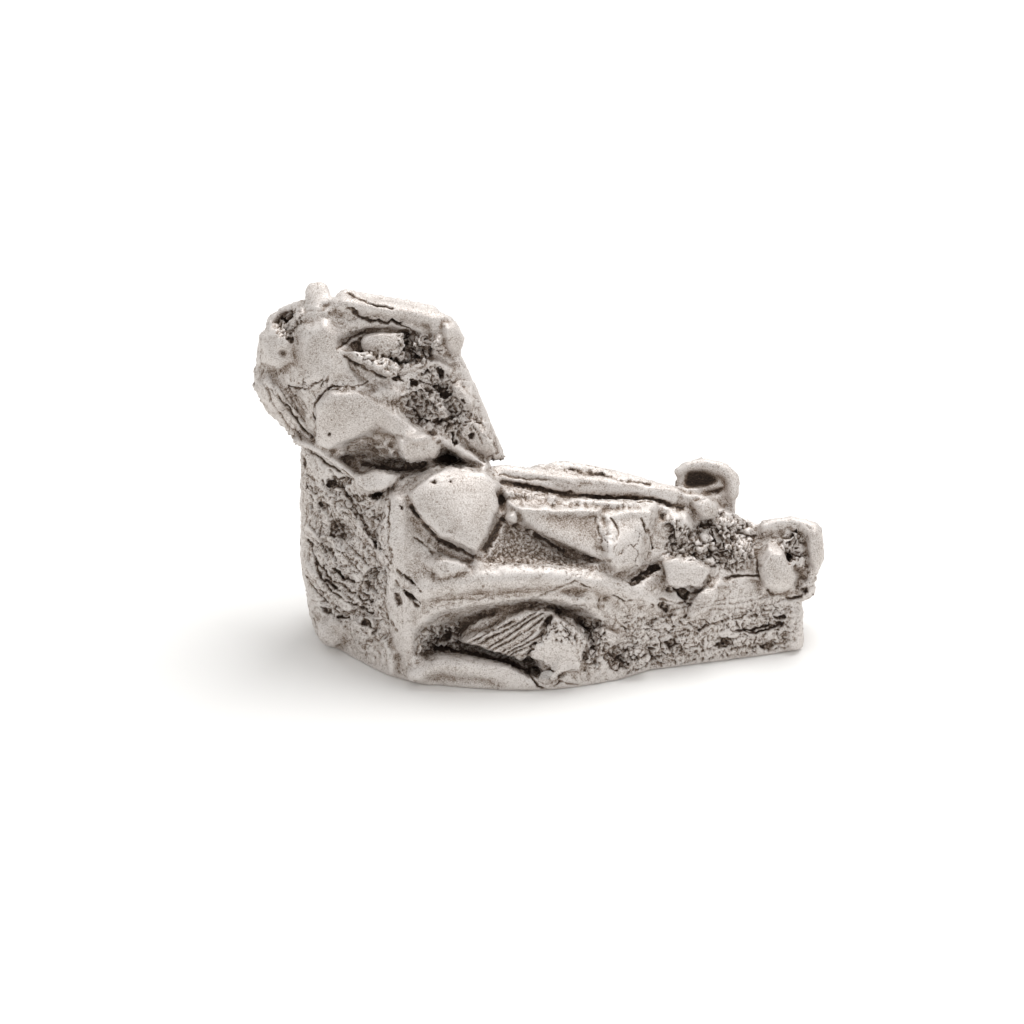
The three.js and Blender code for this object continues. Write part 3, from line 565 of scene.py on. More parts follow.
CRACKS: list[Relief] = [
    Ridge("346,305 357,314 372,321 400,323", -0.8, 2.7, 1),
    Ridge("348,294 360,300 378,306 392,308", -0.5, 2.2, 0.9),
    Ridge("390,322 404,326 414,333", -0.5, 2.2, 0.9),
    Ridge("337,348 352,336 366,331", -0.4, 2.2, 0.9),
    Ridge("345,357 366,369 386,378", -0.4, 2.0, 0.9),
    Ridge("315,420 315,404 321,396 332,386 345,388 358,386 369,381", -0.45, 2.0, 1),
    Ridge("290,386 305,390 314,385 322,380", -0.35, 1.8, 0.9),
    Ridge("262,374 267,388 270,402", -0.4, 2.0, 0.9),
    Ridge("269,388 278,398 288,408", -0.4, 2.0, 0.9),
    Ridge("287,406 298,420 311,437", -0.8, 2.7, 1),
    Ridge("296,445 318,456 352,478 364,492 382,494", -0.5, 2.2, 0.9),
    Ridge("300,452 306,470 306,490", -0.4, 2.0, 0.8),
    Ridge("404,466 396,476 388,490 389,512 388,540 392,560", -0.4, 2.5, 0.5),
    Ridge("411,506 424,524 440,540 466,553 478,559", -0.8, 3.3, 1),
    Ridge("397,570 408,582 420,592", -0.5, 2.2, 0.9),
    Ridge("397,582 408,594 418,606", -0.6, 2.4, 1),
    Ridge("414,538 424,545 432,552", -0.35, 2.0, 0.8),
    Ridge("394,590 400,606 402,622", -0.4, 2.1, 0.8),
    Ridge("330,470 350,500 372,534 391,563", -0.5, 2.2, 0.9),
    Ridge("308,540 314,556 318,574 330,590 352,606 372,612", -0.5, 2.2, 0.9),
    Ridge("302,570 314,586 328,600", -0.4, 2.0, 0.9),
    Ridge("317,562 330,578 350,590 362,600", -0.5, 2.2, 0.9),
    Ridge("374,600 384,612 396,630", -0.4, 2.2, 0.8),
    Ridge("504,481 542,490 581,495 606,498 634,498 658,500 682,508", -0.7, 3.0, 1),
    Ridge("569,468 590,472 622,480 650,484", -0.5, 2.4, 1),
    Ridge("500,474 530,479 570,483", -0.2, 1.8, 0.6),
    Ridge("527,530 543,538 558,549 584,557 609,559", -0.5, 2.5, 0.9),
    Ridge("595,520 601,536 600,556", -0.4, 2.1, 0.9),
    Ridge("612,518 618,534 612,552", -0.3, 1.8, 0.8),
    Ridge("640,520 650,534 654,548", -0.6, 2.4, 1),
    Ridge("438,606 462,604 486,598 508,601", -0.2, 1.8, 0.4),
    Ridge("530,600 552,590 576,580 592,588", -0.3, 2.1, 0.6),
    Ridge("612,596 626,602 642,601 654,607", -0.3, 1.8, 0.6),
    Ridge("606,618 618,622 630,632", -0.3, 2.0, 0.5),
    Ridge("722,580 738,575 757,576", -0.6, 2.4, 1),
    Ridge("757,560 758,580 770,594 792,598", -0.4, 2.2, 0.8),
    Ridge("668,588 684,594 702,590 714,578", -0.6, 2.5, 1),
    Ridge("738,631 756,628 782,624", -0.7, 2.7, 1),
    Ridge("700,630 712,622 722,622", -0.3, 1.8, 0.8),
    Ridge("660,600 690,604 686,618", -0.4, 2.1, 0.8),
    Ridge("788,598 800,596 812,586", -0.5, 2.2, 0.9),
    Ridge("536,684 546,690 560,682 580,686", -0.4, 2.2, 0.8),
    Ridge("528,668 534,680 542,690", -0.6, 2.5, 1),
    Ridge("440,648 470,653 502,660 526,668", -0.7, 3.0, 1),
]
# A faint stain greys the boulder, the lip's front, the block in the great hollow and the beam's face: painted
# shade for the shade they lie in, partly also brown oxide.
PAINTED_SHADE_PLATES: list[Relief] = [
    Patch("408,494 426,476 452,467 484,471 502,489 488,534 477,553 420,517", 0, 8, 0.2),
    Patch("418,590 440,566 540,570 640,584 670,602 600,600 430,606", 0, 10, 0.26),
    Patch("530,650 545,622 566,616 588,640 580,668 540,672", 0, 6, 0.3),
    Patch("512,512 600,514 600,552 560,550 524,528", 0, 6, 0.3),
]
# Reliefs drawn on the view from straight behind: corners and widths are millimetres across and up.
BACK_FORMS: list[Relief] = [
    Patch("-22,30 -17,33 -12,31 -11,26 -14,23 -20,24", 0.7, 1.4),
    Patch("-20,13 -16,16 -11,14 -10,9 -13,5 -19,7", 0.7, 1.4),
    Patch("-3,11 0,13 4,12 6,7 2,3 -3,5", 0.7, 1.4),
    Patch("13,8 16,10 19,8 19,4 14,3", 0.7, 1.2),
    Ridge("-25,21 -18,18.6 -13,18.4 -7,16.5", 0.7, 1.6),
    Ridge("-6,14.5 0,14.6 7,13 14,12", 0.6, 1.5),
    Ridge("-24,33 -21.4,30 -21,27 -22,24 -20,21", -0.5, 0.3, 0.6),
    Ridge("-10,20 -7,18 -4,17.4 -1,16 2,15.6", -0.45, 0.28, 0.6),
    Ridge("-12,15 -9.6,13.4 -8,11 -8.6,8 -7,5", -0.45, 0.28, 0.6),
    Ridge("5,12 6.2,10 7.4,8.6 10,7 12,4", -0.45, 0.28, 0.6),
    Ridge("-19,6 -16.4,4.2 -14,4 -11,3", -0.4, 0.28, 0.5),
    Ridge("16,11 18.6,9.4 21,9.8 24,9", -0.4, 0.28, 0.5),
    Patch("-10,28 -7,29 -5.5,24 -7,20.5 -10,22", -0.9, 1.0, 0.5),
    Patch("-26,30 -23.5,31 -22.5,27 -24.5,24 -27,26", -0.8, 0.9, 0.5),
    Patch("-24,15 -21,16 -20.5,11 -22,8 -24,9", -0.9, 0.9, 0.5),
    Patch("7,10 10,11 12,7 10,3.5 7,4", -0.9, 0.9, 0.5),
    Patch("-18.6,21.6 -15.4,22.5 -12,21.4 -13,20.4 -16.2,21", -0.6, 0.9, 0.5),
]

FORMS = HEAD_FORMS + NECK_FORMS + SHOULDER_FORMS + ARM_FORMS + FRONT_FORMS + PAINTED_SHADE_PLATES


class Grain(Enum):
    """How a stretch of the surface broke or wore."""

    SMOOTH = "smooth"
    CRUMBLE = "crumble"
    SAND = "sand"
    LAYERED = "layered"
    RUN = "run"
    CRACKLE = "crackle"


@dataclass(frozen=True)
class Zone:
    """A stretch of the surface with one kind of grain, drawn on the photograph's view."""

    outline: str
    strength: float = 1.0
    soft: float = 10.0
    lean: float = 0.0
    pitch: float = 0.7


ZONES: dict[Grain, list[Zone]] = {
    Grain.SMOOTH: [
        Zone("259,333 276,327 294,345 330,316 345,335 350,372 330,384 262,366"),
        Zone("315,404 333,390 375,392 440,444 400,440 350,446 325,452 313,430"),
        Zone("408,494 426,476 452,467 484,471 502,489 488,534 477,553 420,517"),
        Zone("512,503 640,506 598,520 600,548 584,556 556,546 522,524"),
        Zone("664,484 690,452 745,462 750,510 720,500 690,496"),
        Zone("449,384 460,381 473,400 473,410 462,405 452,397", 0.8, 4),
        Zone("461,424 474,417 486,430 498,452 486,459 470,447 459,436", 0.8, 4),
        Zone("398,436 424,432 443,446 434,458 408,467", 0.8, 5),
        Zone("357,351 365,335 384,329 401,334 401,350 380,356", 0.9, 4),
        Zone("757,560 768,545 786,550 800,574 796,592 766,592"),
        Zone("806,526 835,520 834,570 816,580 806,556"),
        Zone("692,500 718,500 716,518 700,520", 1.0, 6),
        Zone("722,582 717,597 708,609 692,619 684,612 702,590", 1.0, 4),
        Zone("315,618 348,616 348,646 322,642"),
        Zone("412,664 450,656 520,668 530,686 420,686", 0.7),
        Zone("336,304 345,286 440,305 472,330 470,356 440,346 400,322", 0.75, 6),
        Zone("304,304 306,280 338,280 338,300 320,306", 0.8, 5),
        Zone("250,370 286,388 290,420 250,414", 0.5),
        Zone("500,466 560,468 700,486 706,498 600,494 504,480", 0.7, 5),
        Zone("606,510 654,504 644,540 640,570 612,572", 0.6),
        Zone("418,590 440,566 540,570 640,584 670,602 600,600 430,606", 0.6),
        Zone("390,500 404,480 430,530 428,620 404,690 390,640", 0.6),
        Zone("662,562 690,556 712,570 700,588 668,584", 0.6, 5),
        Zone("780,606 812,604 812,660 784,656", 0.5),
    ],
    Grain.CRUMBLE: [
        Zone("660,512 690,522 722,508 745,515 760,528 757,560 735,578 664,558"),
        Zone("270,332 284,311 304,306 304,322 290,344", 1.0, 5),
        Zone("405,330 444,333 446,352 420,369 386,374 345,355 362,350", 0.8, 5),
        Zone("408,374 440,362 470,395 500,450 470,446 440,436 410,425 398,400", 0.8),
        Zone("360,584 372,564 391,560 392,594 376,613 362,606", 0.8, 6),
        Zone("413,656 418,630 463,618 463,652", 0.8, 6),
        Zone("300,470 340,476 388,506 392,640 366,660 316,606", 0.34, 10),
        Zone("620,606 690,616 790,596 806,620 800,660 620,682", 0.36, 10),
        Zone("529,650 546,620 566,616 590,636 574,646 548,648", 0.7, 6),
        Zone("576,616 606,620 612,646 600,674 584,672", 0.7, 6),
        Zone("596,650 620,640 682,640 690,655 612,676", 0.7, 6),
        Zone("776,538 790,524 808,532 808,570 786,568", 0.7, 6),
    ],
    Grain.SAND: [
        Zone("478,564 498,516 522,526 558,551 588,560 608,562 598,574 530,570", 1.0, 5),
        Zone("505,484 560,488 560,499 507,500", 1.0, 4),
        Zone("340,452 353,440 398,442 402,464 354,464", 0.6, 5),
    ],
    Grain.LAYERED: [
        Zone("458,644 482,619 512,607 548,604 546,626 534,657 506,659", 1.0, 3, 30, 0.62),
        Zone("620,612 690,596 784,588 802,612 798,654 735,656 650,668 612,640", 0.3, 10, 12, 0.6),
        Zone("430,596 480,584 560,584 530,600 450,612", 0.3, 10, 6, 0.5),
        Zone("304,560 330,560 362,584 366,612 350,612 306,580", 0.25, 10, -38, 1.1),
        Zone("302,474 340,484 390,512 390,560 356,580 306,552", 0.22, 8, -44, 1.5),
        Zone("255,378 300,384 314,440 300,448 266,414", 0.4, 8, -55, 0.6),
        Zone("424,362 452,362 506,462 470,446 420,400", 0.4, 8, -58, 0.7),
    ],
    Grain.RUN: [
        Zone("504,468 560,462 672,482 700,490 700,502 504,486", 1.0, 4),
        Zone("346,292 440,312 440,326 346,308", 0.6, 5),
    ],
    Grain.CRACKLE: [
        Zone("598,512 646,508 646,574 600,576", 1.0, 6),
        Zone("296,362 346,366 400,384 398,402 360,394 318,398 292,386", 0.9),
        Zone("255,370 300,380 314,440 270,416", 0.6),
        Zone("420,560 640,566 700,590 620,606 430,610", 0.35),
        Zone("388,480 416,500 420,680 392,680", 0.5),
    ],
}


def select_only(piece: bpy.types.Object) -> None:
    """Makes a piece the only selected object and the active one."""
    bpy.ops.object.select_all(action="DESELECT")
    piece.select_set(True)
    bpy.context.view_layer.objects.active = piece


def apply_modifier(piece: bpy.types.Object, kind: str, **settings: Any) -> None:
    """Adds a modifier to a piece and applies it.

    Args:
        piece: the object that is changed.
        kind: the modifier's type.
        settings: its settings by name.
    """
    modifier = piece.modifiers.new(kind.lower(), kind)
    for name, value in settings.items():
        setattr(modifier, name, value)
    select_only(piece)
    bpy.ops.object.modifier_apply(modifier=modifier.name)


def vertex_places(mesh: bpy.types.Mesh) -> np.ndarray:
    """Reads a mesh's vertices, one row each."""
    flat = np.empty(len(mesh.vertices) * 3, np.float32)
    mesh.vertices.foreach_get("co", flat)
    return flat.reshape(-1, 3).astype(float)


def vertex_normals(mesh: bpy.types.Mesh) -> np.ndarray:
    """Reads a mesh's vertex normals, one row each."""
    flat = np.empty(len(mesh.vertices) * 3, np.float32)
    mesh.vertex_normals.foreach_get("vector", flat)
    return flat.reshape(-1, 3).astype(float)


def move_vertices(mesh: bpy.types.Mesh, places: np.ndarray) -> None:
    """Puts a mesh's vertices at new places."""
    mesh.vertices.foreach_set("co", places.astype(np.float32).ravel())
    mesh.update()


def read_values(mesh: bpy.types.Mesh, name: str) -> np.ndarray:
    """Reads an attribute that holds one number to a vertex."""
    values = np.empty(len(mesh.vertices), np.float32)
    mesh.attributes[name].data.foreach_get("value", values)
    return values


def store_values(mesh: bpy.types.Mesh, name: str, values: np.ndarray) -> None:
    """Stores one number to a vertex as an attribute."""
    layer = mesh.attributes.new(name, "FLOAT", "POINT")
    layer.data.foreach_set("value", values.astype(np.float32))


def blur(mesh: bpy.types.Mesh, values: np.ndarray, rounds: int) -> np.ndarray:
    """Evens values out over a mesh, each vertex with its neighbours.

    Args:
        mesh: the mesh that carries them.
        values: one row to a vertex.
        rounds: how often they are evened out.

    Returns:
        The evened values.
    """
    ends = np.empty(len(mesh.edges) * 2, np.int32)
    mesh.edges.foreach_get("vertices", ends)
    one, two = ends.reshape(-1, 2).T
    count = len(mesh.vertices)
    degree = np.bincount(one, minlength=count) + np.bincount(two, minlength=count)
    columns = values.reshape(count, -1).copy()
    for _ in range(rounds):
        for column in columns.T:
            total = np.bincount(one, column[two], count) + np.bincount(two, column[one], count)
            column[:] = 0.5 * column + 0.5 * total / np.maximum(degree, 1)
    return columns.reshape(values.shape)


def add_node(
    tree: bpy.types.NodeTree, kind: str, inputs: dict[str | int, Any], **settings: Any
) -> bpy.types.Node:
    """Adds a shader node.

    Args:
        tree: the tree that takes it.
        kind: the node's type.
        inputs: for each socket a value, or another node's socket that is linked to it.
        settings: the node's own settings by name.

    Returns:
        The node.
    """
    node = tree.nodes.new(kind)
    for name, value in settings.items():
        setattr(node, name, value)
    for name, value in inputs.items():
        if isinstance(value, bpy.types.NodeSocket):
            tree.links.new(value, node.inputs[name])
        else:
            node.inputs[name].default_value = value
    return node


@dataclass(frozen=True)
class Finish:
    """Cast meteoritic iron, tumbled bright on what stands out, with brown oxide left in what lies deep, and
    painted shade and painted highlight carried on the same colour ramp.
    """

    bright: str = "E2DDD9"
    dull: str = "C0B7B0"
    brown: str = "8C7B6C"
    deep: str = "5A4A3D"
    dark: str = "33271F"
    dull_at: float = 0.34
    brown_at: float = 0.56
    deep_at: float = 0.78
    bright_until: float = 0.05
    bright_metal: float = 0.85
    dark_metal: float = 0.1
    bright_rough: float = 0.66
    dark_rough: float = 0.85
    speck_mm: float = 0.11
    fleck_mm: float = 0.3
    hair_mm: float = 1.5
    mottle_mm: float = 2.4
    tooth_mm: float = 0.04
    tooth_strength: float = 0.6
    noise_roughness: float = 0.6
    speck_gain: float = 1.9
    mottle_gain: float = 0.5
    fleck_gain: float = 0.3
    hair_gain: float = 0.4
    hair_half_width: float = 0.012
    clean_below: float = 0.95
    black_above: float = 2.25

    def material(self) -> bpy.types.Material:
        """Builds the shader.

        Returns:
            The material.
        """
        paint = bpy.data.materials.new("cast_meteoritic_iron")
        paint.use_nodes = True
        tree = paint.node_tree
        shader = tree.nodes["Principled BSDF"]
        place = add_node(tree, "ShaderNodeTexCoord", {}).outputs["Object"]
        stain_and_shade = add_node(tree, "ShaderNodeAttribute", {}, attribute_name="patina_and_shade").outputs["Fac"]
        worn = add_node(tree, "ShaderNodeAttribute", {}, attribute_name="worn").outputs["Fac"]
        # Salt and pepper of the cast skin, darker flecks, and broader clouds, all fixed to the stone.
        speck, fleck, hair, mottle = (
            add_node(
                tree,
                "ShaderNodeTexNoise",
                {
                    "Vector": place,
                    "Scale": 1 / (size * MM),
                    "Detail": detail,
                    "Roughness": self.noise_roughness,
                },
            ).outputs["Fac"]
            for size, detail in (
                (self.speck_mm, 2.0),
                (self.fleck_mm, 3.0),
                (self.hair_mm, 3.0),
                (self.mottle_mm, 5.0),
            )
        )
        fleck = add_node(
            tree,
            "ShaderNodeMapRange",
            {"Value": fleck, "From Min": 0.58, "From Max": 0.7, "To Max": self.fleck_gain},
        ).outputs["Result"]
        # Short hair lines, where one broad noise passes its middle and the stone isn't worn smooth.
        hair = add_node(
            tree, "ShaderNodeMath", {0: hair, 1: 0.5, 2: self.hair_half_width}, operation="COMPARE"
        ).outputs[0]
        patchy = add_node(
            tree,
            "ShaderNodeMapRange",
            {"Value": mottle, "From Min": 0.5, "From Max": 0.6, "To Max": self.hair_gain},
        ).outputs["Result"]
        fresh = add_node(
            tree, "ShaderNodeMath", {0: patchy, 1: worn}, operation="SUBTRACT", use_clamp=True
        ).outputs[0]
        hair = add_node(tree, "ShaderNodeMath", {0: hair, 1: fresh}, operation="MULTIPLY").outputs[0]
        total = stain_and_shade
        for part, gain in ((speck, self.speck_gain), (mottle, self.mottle_gain), (fleck, 1.0), (hair, 1.0)):
            total = add_node(
                tree, "ShaderNodeMath", {0: part, 1: gain, 2: total}, operation="MULTIPLY_ADD"
            ).outputs[0]
        depth = add_node(
            tree,
            "ShaderNodeMapRange",
            {"Value": total, "From Min": self.clean_below, "From Max": self.black_above},
        ).outputs["Result"]
        # From rubbed metal through brown oxide to near black, reached where oxide and painted shade pile up
        # in the deepest hollows.
        ramp = add_node(tree, "ShaderNodeValToRGB", {"Fac": depth})
        stops = ramp.color_ramp.elements
        stops[0].position = self.bright_until
        stops[0].color = linear(self.bright)
        stops[1].position = 1.0
        stops[1].color = linear(self.dark)
        for position, colour in (
            (self.dull_at, self.dull),
            (self.brown_at, self.brown),
            (self.deep_at, self.deep),
        ):
            stops.new(position).color = linear(colour)
        metal = add_node(
            tree,
            "ShaderNodeMapRange",
            {
                "Value": depth,
                "From Min": 0.3,
                "From Max": 0.9,
                "To Min": self.bright_metal,
                "To Max": self.dark_metal,
            },
        ).outputs["Result"]
        rough = add_node(
            tree,
            "ShaderNodeMapRange",
            {"Value": depth, "To Min": self.bright_rough, "To Max": self.dark_rough},
        ).outputs["Result"]
        bump = add_node(
            tree,
            "ShaderNodeBump",
            {"Height": speck, "Strength": self.tooth_strength, "Distance": self.tooth_mm * MM},
        ).outputs["Normal"]
        for name, value in (
            ("Base Color", ramp.outputs["Color"]),
            ("Metallic", metal),
            ("Roughness", rough),
            ("Normal", bump),
        ):
            tree.links.new(value, shader.inputs[name])
        return paint


class Surface:
    """The stone's surface as it stands at one stage of the work."""

    hidden_from: float = 0.4 * MM
    hidden_to: float = 1.6 * MM
    full_facing: float = 0.35
    seen_blur: int = 4
    crisp_blur: int = 5
    footing_mm: float = 0.9
    eye_share: float = 0.7
    normal_share: float = 0.5

    def __init__(self, piece: bpy.types.Object, sight: Sight, soft_normals: int) -> None:
        """Reads the surface and finds what the photograph's eye sees of it.

        Args:
            piece: the stone.
            sight: the photograph's view.
            soft_normals: how often the normals are evened out.
        """
        self.mesh = piece.data
        self.sight = sight
        self.places = vertex_places(self.mesh)
        self.points = self.places / MM
        self.normals = blur(self.mesh, vertex_normals(self.mesh), soft_normals)
        self.columns, self.rows = sight.place(self.places)
        self.drifts: dict[float, tuple[np.ndarray, np.ndarray]] = {}
        self.facing = self.seen(piece)

    def seen(self, piece: bpy.types.Object) -> np.ndarray:
        """Grades vertices by how openly the photograph's eye sees them.

        Args:
            piece: the stone.

        Returns:
            1 where a vertex is seen, falling to 0 behind what hides it.
        """
        tree = BVHTree.FromObject(piece, bpy.context.evaluated_depsgraph_get())
        eye = Vector(self.sight.eye)
        hidden = np.full(len(self.places), np.inf)
        facing = (self.normals * self.sight.towards(self.places)).sum(1)
        for i in np.flatnonzero(facing > 0):
            line = Vector(self.places[i]) - eye
            length = tree.ray_cast(eye, line)[3]
            hidden[i] = line.length - length if length is not None else 0
        open_share = 1 - smoothstep(self.hidden_from, self.hidden_to, hidden)
        return blur(self.mesh, open_share * smoothstep(0.0, self.full_facing, facing), self.seen_blur)

    def wandering(self, size: float, reach: float) -> tuple[np.ndarray, np.ndarray]:
        """Gives sideways shifts that keep drawn outlines from looking ruled.

        Args:
            size: how long one bend is, in millimetres.
            reach: how far it goes, in millimetres.

        Returns:
            Shifts across and down, in millimetres.
        """
        if size not in self.drifts:
            self.drifts[size] = cloud(self.points, size, 3, 11), cloud(self.points, size, 3, 23)
        across, down = self.drifts[size]
        return across * reach, down * reach

    def front_relief(
        self, reliefs: Sequence[Relief], shift: tuple[np.ndarray, np.ndarray], share: np.ndarray
    ) -> tuple[np.ndarray, np.ndarray]:
        """Adds up reliefs that are drawn on the photograph's view.

        Args:
            reliefs: what is drawn.
            shift: the outlines' wandering, in millimetres.
            share: how much of the relief each vertex takes.

        Returns:
            Height in millimetres and stain, with the painted shade that some reliefs draw, for each vertex.
        """
        pixel = self.sight.pixel / MM
        return summed(reliefs, self.columns + shift[0] / pixel, self.rows + shift[1] / pixel, share)

    def back_relief(
        self, reliefs: Sequence[Relief], shift: tuple[np.ndarray, np.ndarray]
    ) -> tuple[np.ndarray, np.ndarray]:
        """Adds up reliefs that are drawn on the view from straight behind.

        Args:
            reliefs: what is drawn.
            shift: the outlines' wandering, in millimetres.

        Returns:
            Height in millimetres and stain, for each vertex.
        """
        behind = smoothstep(0.15, 0.45, self.normals[:, 1]) * (1 - self.facing)
        return summed(reliefs, self.points[:, 0] + shift[0], self.points[:, 2] + shift[1], behind)

    def push(self, front: np.ndarray, back: np.ndarray, outward: np.ndarray, crisp: float) -> None:
        """Moves the surface, less and less towards the cut base.

        Args:
            front: heights towards the photograph's eye, in millimetres.
            back: heights straight backwards.
            outward: heights along the normals.
            crisp: how much the edges of the heights are sharpened.
        """
        front, back, outward = (
            (1 + crisp) * height - crisp * blur(self.mesh, height, self.crisp_blur)
            for height in (front, back, outward)
        )
        footing = smoothstep(0.0, self.footing_mm, self.points[:, 2]) * MM
        line = self.eye_share * self.sight.towards(self.places) + self.normal_share * self.normals
        line /= np.linalg.norm(line, axis=1, keepdims=True)
        places = self.places + line * (front * footing)[:, None] + self.normals * (outward * footing)[:, None]
        places[:, 1] += back * footing
        move_vertices(self.mesh, places)


def summed(
    reliefs: Sequence[Relief], across: np.ndarray, down: np.ndarray, share: np.ndarray
) -> tuple[np.ndarray, np.ndarray]:
    """Adds up drawn reliefs.

    Args:
        reliefs: what is drawn.
        across: the vertices' first coordinates on the drawing.
        down: their second coordinates.
        share: how much of the relief each vertex takes, from 0 to 1.

    Returns:
        Height in millimetres and stain, with the painted shade that some reliefs draw, for each vertex.
    """
    height = np.zeros(len(across))
    stain_and_shade = np.zeros(len(across))
    for shape in reliefs:
        low, high = shape.reach()
        near = (share > 0) & (across > low[0]) & (across < high[0]) & (down > low[1]) & (down < high[1])
        near = np.flatnonzero(near)
        part = shape.share(across[near], down[near]) * share[near]
        height[near] += shape.height * part
        stain_and_shade[near] = np.maximum(stain_and_shade[near], shape.stain_and_shade * part)
    return height, stain_and_shade


class Crust:
    """What breaks the surface up: chips, sand, layers, hair cracks and small pits."""

    bend: tuple[float, float] = (1.6, 0.4)
    chip_sizes: tuple[tuple[float, float, int], ...] = ((1.1, 0.42, 3), (0.5, 0.22, 4))
    sand_mm: float = 0.28
    sand_height: float = 0.09
    layer_height: float = 0.7
    run_height: float = 0.09
    plate_mm: float = 2.4
    crack_depth: float = 0.2
    pit_sizes: tuple[tuple[float, int], ...] = ((2.1, 14), (1.0, 15))
    pit_depth: float = 0.2

    def __init__(self, surface: Surface, shares: dict[Grain, np.ndarray], stain_and_shade: np.ndarray) -> None:
        """Starts from an even surface.

        Args:
            surface: the stone's surface.
            shares: how much of each grain every vertex has.
            stain_and_shade: the stain so far, with the painted shade that some reliefs draw.
        """
        self.surface = surface
        self.points = surface.points
        self.shares = shares
        self.stain_and_shade = stain_and_shade
        self.height = np.zeros(len(stain_and_shade))
        self.plain = (1 - shares[Grain.SMOOTH]) * (0.45 + 0.55 * shares[Grain.CRUMBLE])
        self.sway = np.stack([cloud(self.points, 1.1, 2, seed) for seed in (5, 6, 7)], 1)

    def darken(self, stain_and_shade: np.ndarray) -> None:
        """Adds stain where there is less so far."""
        self.stain_and_shade = np.maximum(self.stain_and_shade, stain_and_shade)

    def swell(self) -> None:
        """Swells the surface, less where it is worn smooth, and cuts the swelling into broken ledges."""
        self.height += 0.2 * cloud(self.points, 2.6, 4, 1) * (0.35 + 0.65 * self.plain)
        rise = 3.2 * cloud(self.points, 3.4, 3, 2)
        level = np.floor(rise)
        ledge = smoothstep(0.4, 0.6, rise - level)
        self.height += 0.2 * self.plain * (level + ledge - rise)
        self.darken(0.2 * self.plain * (1 - np.abs(2 * ledge - 1)))

    def chip(self) -> None:
        """Breaks crumbly stretches into chips, each with its own tilt, with dark seams between them."""
        crumble = self.shares[Grain.CRUMBLE]
        for size, deep, seed in self.chip_sizes:
            heart, other, number, facet = grains(self.points + 0.35 * size * self.sway, size, seed)
            seam = 1 - smoothstep(0.02, 0.14, other - heart)
            tilted = 0.5 * number - 0.25 + 1.1 * facet
            self.height += deep * (crumble + 0.2 * self.plain) * tilted - 0.3 * deep * crumble * seam
            self.darken(crumble * (0.3 * seam + 0.28 * (number < 0.25)))

    def strew_sand(self) -> None:
        """Strews sand over the bed."""
        heart, other, number, _ = grains(self.points, self.sand_mm, 8)
        self.height += self.shares[Grain.SAND] * self.sand_height * (number - heart)
        between = 1 - smoothstep(0.05, 0.3, other - heart)
        self.darken(self.shares[Grain.SAND] * (0.2 + 0.4 * between))

    def layer(self) -> None:
        """Lays leaning sheets, each zone with its own slope."""
        shift = self.surface.wandering(*self.bend)
        for zone in ZONES[Grain.LAYERED]:
            shape = Patch(zone.outline, zone.strength, zone.soft)
            share = self.surface.front_relief([shape], shift, self.surface.facing)[0]
            near = np.flatnonzero(share)
            sheet, gap = self.sheets(zone, near)
            self.height[near] += share[near] * self.layer_height * zone.pitch * sheet
            self.stain_and_shade[near] = np.maximum(self.stain_and_shade[near], share[near] * 0.9 * gap)

    def sheets(self, zone: Zone, near: np.ndarray) -> tuple[np.ndarray, np.ndarray]:
        """Draws the layers of a zone, which overlap like shingles and break off at random.

        Args:
            zone: gives their slope and spacing.
            near: numbers of the vertices that it reaches.

        Returns:
            Heights from -0.5, in a gap, to 0.5, on a layer's edge, and how much of a gap there is.
        """
        lean = math.radians(zone.lean)
        pixel = self.surface.sight.pixel / MM
        columns = self.surface.columns[near] * pixel
        rows = self.surface.rows[near] * pixel
        across = columns * math.sin(lean) + rows * math.cos(lean)
        along = columns * math.cos(lean) - rows * math.sin(lean)
        place = np.stack([along / 4, across, self.points[near, 1] / 5], 1)
        phase = across / zone.pitch + 1.6 * cloud(place, 2.4 * zone.pitch, 3, 9)
        saw = phase - np.floor(phase)
        whole = smoothstep(-0.45, 0.0, cloud(place, 1.5 * zone.pitch, 2, 19))
        sheet = smoothstep(0, 0.25, saw) * (1 - 0.7 * saw) - 0.5
        return whole * sheet, whole * (1 - smoothstep(0.05, 0.34, saw))

    def streak(self) -> None:
        """Draws runs along the rod."""
        x, y, z = self.points.T
        run = cloud(np.stack([x / 9, y + 0.08 * x, z], 1), 0.6, 2, 10)
        self.height += self.shares[Grain.RUN] * self.run_height * run
        self.darken(self.shares[Grain.RUN] * 0.5 * smoothstep(-0.2, -0.5, run))

    def crack(self) -> None:
        """Opens hair cracks round plates."""
        heart, other, _, _ = grains(self.points + 0.9 * self.sway, self.plate_mm, 12)
        line = 1 - smoothstep(0.008, 0.04, other - heart)
        line = line * smoothstep(-0.1, 0.2, cloud(self.points, 2.5, 2, 13))
        share = np.maximum(self.shares[Grain.CRACKLE], 0.2 * self.plain)
        self.height -= self.crack_depth * line * share
        self.darken(0.8 * line * share)

    def pit(self) -> None:
        """Scatters small pits, more of them on the sides that the drawing leaves free."""
        for size, seed in self.pit_sizes:
            heart, _, number, _ = grains(self.points + 0.45 * size * self.sway, size, seed)
            radius = 0.1 + 0.2 * number
            hole = (1 - smoothstep(0.6, 1.0, heart / radius)) * (number > 0.55) * self.plain
            hole *= 0.3 + 0.5 * (1 - self.surface.facing)
            self.height -= self.pit_depth * size * hole
            self.darken(0.55 * hole)

    def build(self) -> None:
        """Breaks the whole surface up."""
        self.swell()
        self.chip()
        self.strew_sand()
        self.layer()
        self.streak()
        self.crack()
        self.pit()


